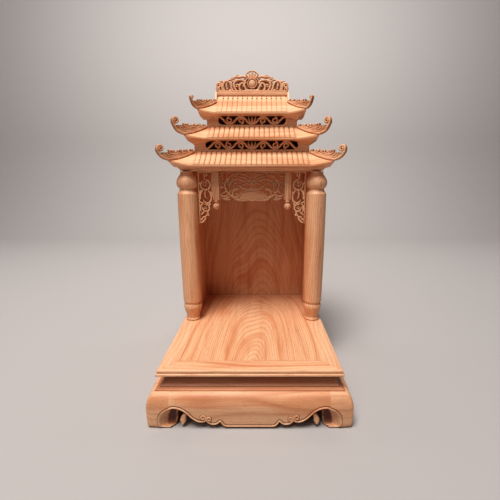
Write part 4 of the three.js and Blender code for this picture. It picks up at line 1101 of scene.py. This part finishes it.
def hip_board(tier, sign_x, sign_y):
    """The cloud board on a hip, drawn in the upright plane through the hip with d the distance out from the storey's
    corner: a thick rounded rim from the storey along the hip and up to a curled horn, waves flowing beside it over
    a thin web, and a row of small clouds along the top."""
    diagonal = math.sqrt(2)
    inner, eave = tier["inner"], tier["eave"]
    half = HORN_THICK / 2
    is_low = tier["number"] < 3
    share = np.linspace(0.04, 1, 14)
    width = inner + (eave - inner) * share
    hip = np.stack([(width - inner) * diagonal, slope_height(tier, share, width, 0)], 1)
    reach, height, radius = tier["horn"]
    tip = (reach - half / diagonal - inner) * diagonal
    corner = hip[-1]
    rim_w = (carving().rim if is_low else carving().top_rim) / MM
    horn = flow([
        tuple(hip[-2] + (0, rim_w / 2 - 1)), tuple(corner + (2, rim_w / 2 - 2)),
        (corner[0] + (tip - corner[0]) * 0.55, corner[1] + 7.5),
        (tip - rim_w / 2 - 1.5, height - radius * 0.7), (tip - rim_w / 2, height + radius * 0.1),
    ], 26)
    centre = (tip - radius, height)
    curl = spiral(centre[0], centre[1], radius - rim_w / 2, radius * 0.16, 12, 1.3)
    spine = np.vstack([hip[:-1] + (0, rim_w / 2 - 1), horn[1:], curl[2:]])
    parts = [stem(spine, (rim_w * 0.9, rim_w, rim_w, rim_w, rim_w * 0.7), -half, half, 0.7, (0.02, 0.03), True)]
    start = centre[0] - radius
    crown = corner[1] + (height - corner[1]) * 0.72
    reach_d = start + radius * 0.9
    outward = spine[:34]  # the part of the spine before the horn turns back

    def floor_at(d):
        return np.interp(d, outward[:, 0], outward[:, 1])

    def top_at(d):
        return np.maximum(crown + (tier["top"] + 4 - crown) * (1 - d / start) - 1.5, floor_at(d) + 1)

    def at(points):
        u, v = np.array(points).T
        low = floor_at(u * reach_d)
        return np.stack([u * reach_d, low + v * (top_at(u * reach_d) - low)], 1)

    d = np.linspace(2, reach_d, 28)
    web = np.vstack([np.stack([d, floor_at(d)], 1), np.stack([d, top_at(d)], 1)[::-1]])
    # the thin web behind the waves, painted in shade
    parts.append(plate(web, -3.2, 3.2, 0.3, 0.6))
    k = 1.25 if is_low else 0.95
    for points, width, lift in CURRENTS:
        widths = (width * 0.8 * k, width * k, width * 0.7 * k)
        parts.append(stem(flow(at(points), 44), widths, lift - half, half - lift, 0.9, (0.04, 0.08), True))
    for u, size, start_angle, turns in CLOUDS:
        cx, cz = at([(u, 1.0)])[0]
        r = tier["cloud"] * size
        path = spiral(cx, cz - r * 0.1, r, r * 0.25, start_angle, turns)
        parts.append(stem(path, (3.8 * k, 2.6 * k), 0.8 - half, half - 0.8, 0.9, (0.06, 0.1), True))
    for u, lean in ((0.72, 0.05), (0.38, 0.04)):
        foot, (x, z) = at([(u, 0.75), (u + lean, 1.0)])
        tongue = flow([foot, (x - 2, z - 1), (x + 1.5, z + tier["cloud"] * 0.75)], 14)
        parts.append(stem(tongue, (3.0 * k, 4.6 * k, 1.0), 1 - half, half - 1, 0.9, (0.05, 0.05), True))
    v, faces, dusk = joined(parts)
    hx, hy = plan(inner)
    flat, depth, z = v[:, 0], v[:, 1], v[:, 2]
    x = hx + (flat - depth) / diagonal
    y = -hy - (flat + depth) / diagonal
    faces = flipped(faces) if sign_x * sign_y < 0 else faces
    return np.stack([sign_x * x, -sign_y * y + HOUSE_MIDDLE, z], 1), faces, dusk


def ridge_crest():
    """The crest on the ridge: a shell over an oval boss in the middle, and scrolls that step down to the ends."""
    y0, y1 = HOUSE_MIDDLE - 4.5, HOUSE_MIDDLE + 4.5
    base = BEAM_TOP + GAP
    line, curl, petal, knob = carver(y0, y1, carving().crest_stroke, 0.9, (0.04, 0.04), (0.04, 0.08), True, 34)
    web = [(0, base), (107, base), (107, 826), (98, 836), (84, 838), (72, 838), (62, 836), (56, 842), (44, 845),
           (30, 846), (18, 850), (0, 852)]
    web = np.vstack([web, [(-x, z) for x, z in web[::-1]]])
    half = [
        # petal beside the boss, and the roll at its foot
        line([(8, base + 2), (17, 819), (22.6, 828), (23, 837), (18.6, 845), (13, 850)], (5.2, 5.6, 4.0)),
        line([(0, base + 4.6), (10, base + 3.4), (18, base + 4.4), (24, base + 1.6)], (5.0, 4.0)),
        # the upper edge that leaves the shell and ends in a loop
        line([(17, 852), (28, 854.6), (40, 853), (51, 853.4), (60, 849)], (5.4, 5.8, 5.2), 0, 40),
        curl(55.4, 846.4, 6.4, 2.0, 70, -1.25, (4.6, 3.0)),
        petal([(30, 852), (38, 857), (47, 858)], 4.4, 1),
        # the great scroll over the hollow beside the boss
        line([(17, 836), (24, 842.4), (36, 845.6), (48, 843), (54.6, 834), (52.4, 824), (46, base + 2)],
             (5.0, 6.4, 6.6, 5.6), 0, 50),
        line([(33, base + 2), (38, 822), (36.6, 832), (30, 837), (25.4, 832), (28, 826.6)], (6.0, 5.4, 3.0), 0, 40),
        curl(44.6, 829, 5.2, 1.6, 200, -1.1, (3.8, 2.6)),
        # the second ring with a drop inside it
        line([(57, base + 2), (61.4, 823), (64, 833), (71, 841.6), (80, 841.4), (86.4, 833), (86, 822), (82, base + 2)],
             (5.6, 6.2, 6.2, 5.4), 0, 60),
        petal([(75, 839), (77, 831), (74, 822)], 7.0, 0.6),
        knob(74.4, 821.6, 3.4, 0.6), petal([(58, 842), (64, 846), (72, 845)], 5.0, 0.6),
        # the end: a ring over a smaller one
        curl(99.4, 830.4, 8.2, 2.2, 215, -1.4, (6.0, 3.6)),
        curl(99.8, 818.6, 5.8, 1.8, 130, -1.3, (4.8, 3.0)),
        line([(88, base + 2), (90.4, 824), (90.6, 834), (95, 840.6)], (5.0, 4.2), 0, 26),
        petal([(84, 838), (90, 842), (97, 841.6)], 4.6, 0.8),
        knob(106, 824, 3.4, 0.6), knob(66, 817.4, 3.8, 0.8),
    ]
    lobes = [
        petal([(2.2 * k, 846), (6.2 * k, 856 - 1.2 * abs(k)), (9.2 * k, CREST_TOP - 1.6 - 3.4 * abs(k) ** 1.3)],
              9.0, 0, 1.0)
        for k in (-2, -1, 1, 2)
    ]
    middle = [
        *lobes, petal([(0, 846), (0, 858), (0, CREST_TOP)], 8.6, -0.4, 1.0),
        stem(flow([(-19, 850), (-18, 860), (-9.4, 868), (0, CREST_TOP - 1.6), (9.4, 868), (18, 860), (19, 850)], 40),
             3.4, y0 + 1.2, y1 - 1.2, 0.8, (0.05, 0.05), True),
        boss(0, 836.6, 12.0, y0 - 0.8, y1, 1.08, 0.5),
        stem(spiral(0, 836.6, 13.6, 13.6, -200, 1.1), 2.6, y0, y1, 0.8, (0.02, 0.02), True),
        block(-BEAM_HALF + 2, BEAM_HALF - 2, y0, y1, base, base + 3.6, 0.8),
        # the web behind the strokes, painted in full shade
        plate(even(web, 3.0), y0 + 3.6, y1 - 3.6, 0.2, 1.0),
    ]
    v, faces, dusk = joined([*both_sides(half), *middle])
    v[:, 0] = np.clip(v[:, 0], -CREST_HALF, CREST_HALF)
    v[:, 2] = np.clip(v[:, 2], base, CREST_TOP)
    return v, faces, dusk


def gable_board(sign):
    """The thin board that closes a gable: a wedge with a small shoulder at each side, rounded at its arrises."""
    tier = TIERS[2]
    depth = plan(tier["inner"])[1]
    outline = [(-depth, 777.6), (depth, 777.6), (depth, 786), (6, BEAM_TOP), (-6, BEAM_TOP), (-depth, 786)]
    outline = even(np.vstack([outline, outline[:1]]), 2.0)[:-1]
    half = 2.5
    v, faces, dusk = plate(outline, -half, half, 0.7)
    x = sign * (tier["inner"] + 2 * GAP + half)
    faces = flipped(faces) if sign > 0 else faces
    return np.stack([x + sign * v[:, 1], v[:, 0] + HOUSE_MIDDLE, v[:, 2]], 1), faces, dusk


# ---------------------------------------------------------------- settings
def size(name, description, millimetres):
    """A length that a user may change, kept in metres."""
    return FloatProperty(name=name, description=description, default=millimetres * MM, min=0.0, unit="LENGTH")


def share_of(name, description, default):
    """A factor on the drawn widths."""
    return FloatProperty(name=name, description=description, default=default, min=0.2, max=2.0, subtype="FACTOR")


def colour(name, description, srgb):
    """A colour from its sRGB hex value."""
    return FloatVectorProperty(
        name=name, description=description, default=linear(srgb), size=4, min=0.0, max=1.0, subtype="COLOR"
    )


def power(name, description, default):
    """A lamp's power."""
    return FloatProperty(name=name, description=description, default=default, min=0.0, unit="POWER")


class AltarCarving(bpy.types.PropertyGroup):
    """Sizes of the carving."""

    bead: size("Bead width", "Rolled bead along the scrolled edges of aprons and legs", 4.4)
    bead_rise: size("Bead height", "How far that bead stands out", 2.6)
    pocket: size("Foot pocket", "Depth of the hollow in a corner leg", 9.0)
    tile_rise: size("Tile height", "Rise of a tile's back over its valley", 3.0)
    vine: size("Vine width", "Waving stem in the friezes", 6.6)
    rim: size("Horn rim", "Rim and horn of the cloud boards on the two lower tiers", 6.8)
    top_rim: size("Top horn rim", "Rim and horn of the cloud boards on the top tier", 5.0)
    screen_stroke: share_of("Screen strokes", "Width of the head screen's strokes against the drawing", 1.15)
    crest_stroke: share_of("Crest strokes", "Width of the crest's strokes against the drawing", 1.12)


class AltarFinish(bpy.types.PropertyGroup):
    """Colours of the wood, and the darker colours of waist and screen, which are painted shade."""

    pale: colour("Pale wood", "The wood's palest bands", "#f3bd93")
    mid: colour("Middle wood", "The wood between them", "#e3a074")
    line: colour("Ring lines", "The late growth in each ring", "#a5562e")
    # The waist's and the screen's colours are the same wood darkened: painted shade.
    waist_pale: colour("Waist, pale", "Palest bands of the waist moulding", "#c98d66")
    waist_mid: colour("Waist, middle", "Wood of the waist moulding", "#b4744c")
    screen_pale: colour("Screen, pale", "Palest bands of the head screen", "#d29b74")
    screen_mid: colour("Screen, middle", "Wood of the head screen", "#b87a52")


class AltarStudio(bpy.types.PropertyGroup):
    """Light and camera."""

    key_power: power("Key light", "Large soft light from the upper left", 168.0)
    fill_power: power("Fill light", "Weak light from the front", 6.0)
    wall_power: power("Wall light", "Light on the backdrop", 45.0)
    paper: colour("Backdrop", "Floor and backdrop", "#b4aeab")
    air: colour("Surrounding light", "Even light from all sides", "#e8e6e6")
    air_strength: FloatProperty(
        name="Surrounding strength", description="Strength of the even light", default=0.105, min=0.0
    )
    lens: FloatProperty(name="Lens", description="Focal length", default=22.54, min=1.0, unit="CAMERA")


# ---------------------------------------------------------------- steps
SIDE_NAMES = ("front", "right", "back", "left")
SIDE_GRAIN = ("X", "Y", "X", "Y")
PAIR = (("left", -1), ("right", 1))
CORNERS = [(depth + "_" + name, x, y) for depth, y in (("front", -1), ("back", 1)) for name, x in PAIR]


class ALTAR_OT_rails(bpy.types.Operator):
    """Mitred rails round the platform"""

    bl_idname = "altar.rails"
    bl_label = "Platform rails"

    def execute(self, context):
        seeds = {"X": 2.0, "Y": 3.0}
        for side, (name, grain) in enumerate(zip(SIDE_NAMES, SIDE_GRAIN)):
            cut = hardwood("frame_" + grain, grain, seed=seeds[grain], ring_mm=7, heart=(0, 0, -160), ring_share=0.35)
            piece("rail_" + name, mitred(side, RAIL_SECTION), cut, "platform_rail_" + name)
        return {"FINISHED"}


class ALTAR_OT_waist(bpy.types.Operator):
    """Coved waist mouldings between platform and aprons"""

    bl_idname = "altar.waist"
    bl_label = "Waist mouldings"

    def execute(self, context):
        finish = context.scene.altar_finish
        for side, (name, grain) in enumerate(zip(SIDE_NAMES, SIDE_GRAIN)):
            # the waist's darker colours are painted shade
            cut = hardwood("waist_" + grain, grain, finish.waist_pale, finish.waist_mid, seed=5.0, ring_mm=6,
                           heart=(0, 0, -120), ring_share=0.3)
            moulding = mitred(side, WAIST_SECTION, WAIST_PAINTED_SHADE)
            piece("waist_moulding_" + name, moulding, cut, "waist_" + name)
        return {"FINISHED"}


class ALTAR_OT_aprons(bpy.types.Operator):
    """Bulging aprons with a scrolled, beaded edge"""

    bl_idname = "altar.aprons"
    bl_label = "Aprons"

    def execute(self, context):
        for side, (name, grain) in enumerate(zip(SIDE_NAMES, SIDE_GRAIN)):
            cut = hardwood("apron_" + grain, grain, seed=8.0, ring_mm=9, heart=(0, 40, -30), ring_share=0.4)
            piece("scrolled_apron_" + name, apron(side), cut, "apron_" + name)
        return {"FINISHED"}


class ALTAR_OT_legs(bpy.types.Operator):
    """Corner legs with a hollowed foot"""

    bl_idname = "altar.legs"
    bl_label = "Corner legs"

    def execute(self, context):
        cut = hardwood("leg", "X", seed=11.0, ring_mm=8, heart=(0, 0, -40), ring_share=0.4)
        for name, sign_x, sign_y in CORNERS:
            piece("corner_leg_" + name, leg(sign_x, sign_y), cut, "leg_" + name, of_sheets=True)
        return {"FINISHED"}


class ALTAR_OT_boards(bpy.types.Operator):
    """Wood for the platform's panel and the niche's plain boards, which keep the solids' own faces"""

    bl_idname = "altar.boards"
    bl_label = "Panel and plain boards"

    def execute(self, context):
        panel = hardwood("panel", "Y", seed=1.0, ring_mm=5.5, heart=(8, -300, 136), tilt=(0.2, 0.0))
        back = hardwood("back", "Z", seed=4.0, ring_mm=4.2, heart=(5, 248, 120), tilt=(0.13, 0.0), ring_share=0.42)
        ceiling = hardwood("ceiling", "X", seed=6.0)
        cuts = dict(platform_panel=panel, back_panel=back, ceiling_board=ceiling, side_wall_left=back,
                    side_wall_right=back)
        for name, cut in cuts.items():
            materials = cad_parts[name].data.materials
            materials.clear()
            materials.append(cut)
        return {"FINISHED"}


class ALTAR_OT_columns(bpy.types.Operator):
    """Turned columns beside the niche's mouth"""

    bl_idname = "altar.columns"
    bl_label = "Columns"

    def execute(self, context):
        for name, sign in PAIR:
            cut = hardwood("column_" + name, "Z", seed=3.0 + sign, heart=(sign * COLUMN_X, 0, 0), tilt=(0.05, 0.03),
                           ring_share=0.45)
            piece("turned_column_" + name, column(sign), cut, "column_" + name)
        return {"FINISHED"}


class ALTAR_OT_posts(bpy.types.Operator):
    """Reeded posts with a turned drop"""

    bl_idname = "altar.posts"
    bl_label = "Pendant posts"

    def execute(self, context):
        cut = hardwood("post", "Z", seed=7.0)
        for name, sign in PAIR:
            piece("reeded_post_" + name, pendant_post(sign), cut, "pendant_post_" + name)
        return {"FINISHED"}


class ALTAR_OT_brackets(bpy.types.Operator):
    """Pierced brackets beside the columns"""

    bl_idname = "altar.brackets"
    bl_label = "Brackets"

    def execute(self, context):
        cut = hardwood("carving_Z", "Z", seed=9.0, ring_share=0.2)
        for name, sign in PAIR:
            piece("pierced_bracket_" + name, bracket(sign), cut, "bracket_" + name)
        return {"FINISHED"}


class ALTAR_OT_screen(bpy.types.Operator):
    """The pierced head screen with its blank plate"""

    bl_idname = "altar.screen"
    bl_label = "Head screen"

    def execute(self, context):
        finish = context.scene.altar_finish
        # the screen's darker colours are painted shade
        cut = hardwood("screen", "X", finish.screen_pale, finish.screen_mid, seed=9.0, ring_share=0.2)
        piece("pierced_head_screen", head_screen(), cut, "head_screen")
        return {"FINISHED"}


def roof_wood():
    """The plain quiet wood of tiles, gables and ridge."""
    return hardwood("roof", "X", seed=12.0, ring_mm=14, heart=(0, 0, 300), ring_share=0.2)


def carving_wood():
    """The fine wood of cloud boards and crest."""
    return hardwood("carving_X", "X", seed=9.0, ring_share=0.2)


class ALTAR_OT_tiers(bpy.types.Operator):
    """The three tiled tiers"""

    bl_idname = "altar.tiers"
    bl_label = "Tiled tiers"

    def execute(self, context):
        for tier in TIERS:
            number = str(tier["number"])
            piece("tiled_tier_" + number, roof_tier(tier), roof_wood(), "roof_tier_" + number, 50)
        return {"FINISHED"}


class ALTAR_OT_cloud_boards(bpy.types.Operator):
    """Cloud boards with a curled horn on the hips"""

    bl_idname = "altar.cloud_boards"
    bl_label = "Cloud boards"

    def execute(self, context):
        for tier in TIERS:
            for name, sign_x, sign_y in CORNERS:
                key = str(tier["number"]) + "_" + name
                piece("cloud_board_" + key, hip_board(tier, sign_x, sign_y), carving_wood(),
                      "hip_board_" + key)
        return {"FINISHED"}


class ALTAR_OT_friezes(bpy.types.Operator):
    """Pierced friezes between the tiers"""

    bl_idname = "altar.friezes"
    bl_label = "Friezes"

    def execute(self, context):
        cut = hardwood("frieze", "X", seed=13.0, ring_mm=6, heart=(0, 0, 500), ring_share=0.4)
        for tier in TIERS[:2]:
            for side, name in enumerate(SIDE_NAMES):
                key = str(tier["number"]) + "_" + name
                piece("frieze_" + key, storey(tier, side), cut, "storey_" + key)
        return {"FINISHED"}


class ALTAR_OT_gables(bpy.types.Operator):
    """Boards that close the gables"""

    bl_idname = "altar.gables"
    bl_label = "Gable boards"

    def execute(self, context):
        for name, sign in PAIR:
            piece("gable_" + name, gable_board(sign), roof_wood(), "gable_board_" + name)
        return {"FINISHED"}


class ALTAR_OT_ridge(bpy.types.Operator):
    """The ridge's beam and its scrolled crest"""

    bl_idname = "altar.ridge"
    bl_label = "Ridge and crest"

    def execute(self, context):
        (x0, y0, z0), (x1, y1, z1) = [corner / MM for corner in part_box("ridge_beam")]
        piece("ridge_board", block(x0, x1, y0, y1, z0, z1, 1.0), roof_wood(), "ridge_beam")
        piece("scrolled_crest", ridge_crest(), carving_wood(), "ridge_crest")
        return {"FINISHED"}


FLOOR_HALF = 12.0  # metres from here on
FLOOR_FRONT = -6.0
SWEEP_START = 2.0  # y where the floor starts to rise, in a quarter circle of one metre
WALL_TOP = 9.0
LAMPS = (  # name, place, aimed at, size, colour
    ("key", (-0.6, -1.2, 4.0), (0, 0, 0.3), (1.5, 2.0), (1.0, 0.985, 0.97)),
    ("fill", (-0.9, -2.0, 2.2), (0, 0, 0.3), (1.4, 1.0), (1.0, 0.97, 0.94)),
    ("wall", (0, 1.0, 2.6), (0, 3.0, 1.2), (4.0, 0.6), (1.0, 1.0, 1.0)),
)
CAMERA_PLACE = (0.0231, -0.8998, 0.5577)
CAMERA_DIP = 12.714  # degrees below level
CAMERA_SHIFT = -0.0199


class ALTAR_OT_stage(bpy.types.Operator):
    """Pale floor, soft light and the camera"""

    bl_idname = "altar.stage"
    bl_label = "Stage"

    def execute(self, context):
        scene, studio = context.scene, context.scene.altar_studio
        # the floor: a section of floor, quarter circle and wall, carried from left to right
        turn = np.radians(np.linspace(0, 90, 14))
        y = np.concatenate([[FLOOR_FRONT], SWEEP_START + np.sin(turn), [SWEEP_START + 1]])
        z = np.concatenate([[0.0], 1 - np.cos(turn), [WALL_TOP]])
        rows = np.stack([np.stack([np.full(len(y), x), y, z], 1) for x in (-FLOOR_HALF, FLOOR_HALF)])
        vertices, (faces,), _ = grid(rows)
        mesh = bpy.data.meshes.new("floor")
        mesh.from_pydata(vertices.tolist(), [], faces[:, ::-1].tolist())
        mesh.shade_smooth()
        # matt paper: rough and without gloss, so that the floor shows soft shade alone
        paper = bpy.data.materials.new("matt_paper")
        paper.use_nodes = True
        shader = paper.node_tree.nodes["Principled BSDF"]
        shader.inputs["Base Color"].default_value = studio.paper
        shader.inputs["Roughness"].default_value = 0.85
        mesh.materials.append(paper)
        floor = bpy.data.objects.new("floor", mesh)
        scene.collection.objects.link(floor)
        floor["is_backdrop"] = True
        for name, place, target, (width, depth), tint in LAMPS:
            light = bpy.data.lights.new(name, "AREA")
            light.shape = "RECTANGLE"
            light.size, light.size_y = width, depth
            light.energy = getattr(studio, name + "_power")
            light.color = tint
            lamp = bpy.data.objects.new(name, light)
            lamp.location = place
            lamp.rotation_euler = (Vector(target) - Vector(place)).to_track_quat("-Z", "Y").to_euler()
            scene.collection.objects.link(lamp)
        scene.view_settings.view_transform = "Standard"
        scene.view_settings.look = "Medium High Contrast"
        world = bpy.data.worlds.new("studio")
        world.use_nodes = True
        background = world.node_tree.nodes["Background"]
        background.inputs["Color"].default_value = studio.air
        background.inputs["Strength"].default_value = studio.air_strength
        scene.world = world
        lens = bpy.data.cameras.new("camera")
        lens.lens = studio.lens
        lens.sensor_width = 36.0
        lens.shift_x = CAMERA_SHIFT
        camera = bpy.data.objects.new("camera", lens)
        camera.location = CAMERA_PLACE
        camera.rotation_euler = (math.radians(90 - CAMERA_DIP), 0, 0)
        scene.collection.objects.link(camera)
        scene.camera = camera
        return {"FINISHED"}


STEPS = (
    ALTAR_OT_rails, ALTAR_OT_waist, ALTAR_OT_aprons, ALTAR_OT_legs, ALTAR_OT_boards, ALTAR_OT_columns,
    ALTAR_OT_posts, ALTAR_OT_brackets, ALTAR_OT_screen, ALTAR_OT_tiers, ALTAR_OT_cloud_boards, ALTAR_OT_friezes,
    ALTAR_OT_gables, ALTAR_OT_ridge, ALTAR_OT_stage,
)
SETTINGS = dict(altar_carving=AltarCarving, altar_finish=AltarFinish, altar_studio=AltarStudio)


class ALTAR_PT_panel(bpy.types.Panel):
    """Lists the settings and the steps"""

    bl_idname = "ALTAR_PT_panel"
    bl_label = "Altar cabinet"
    bl_space_type = "VIEW_3D"
    bl_region_type = "UI"
    bl_category = "Altar cabinet"

    def draw(self, context):
        for key, kind in SETTINGS.items():
            for name in kind.__annotations__:
                self.layout.prop(getattr(context.scene, key), name)
        for step in STEPS:
            self.layout.operator(step.bl_idname)


CLASSES = (*SETTINGS.values(), *STEPS, ALTAR_PT_panel)


def register():
    for kind in CLASSES:
        bpy.utils.register_class(kind)
    for key, kind in SETTINGS.items():
        setattr(bpy.types.Scene, key, PointerProperty(type=kind))


def unregister():
    for key in SETTINGS:
        delattr(bpy.types.Scene, key)
    for kind in reversed(CLASSES):
        bpy.utils.unregister_class(kind)


def main():
    """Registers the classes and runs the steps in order."""
    register()
    for step in STEPS:
        getattr(bpy.ops.altar, step.bl_idname.split(".")[1])()
    boxes = {"cad": CAD_BOX, "visual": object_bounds()}
    {name: [[float(v) for v in corner] for corner in box] for name, box in boxes.items()}


if __name__ == "__main__":
    main()
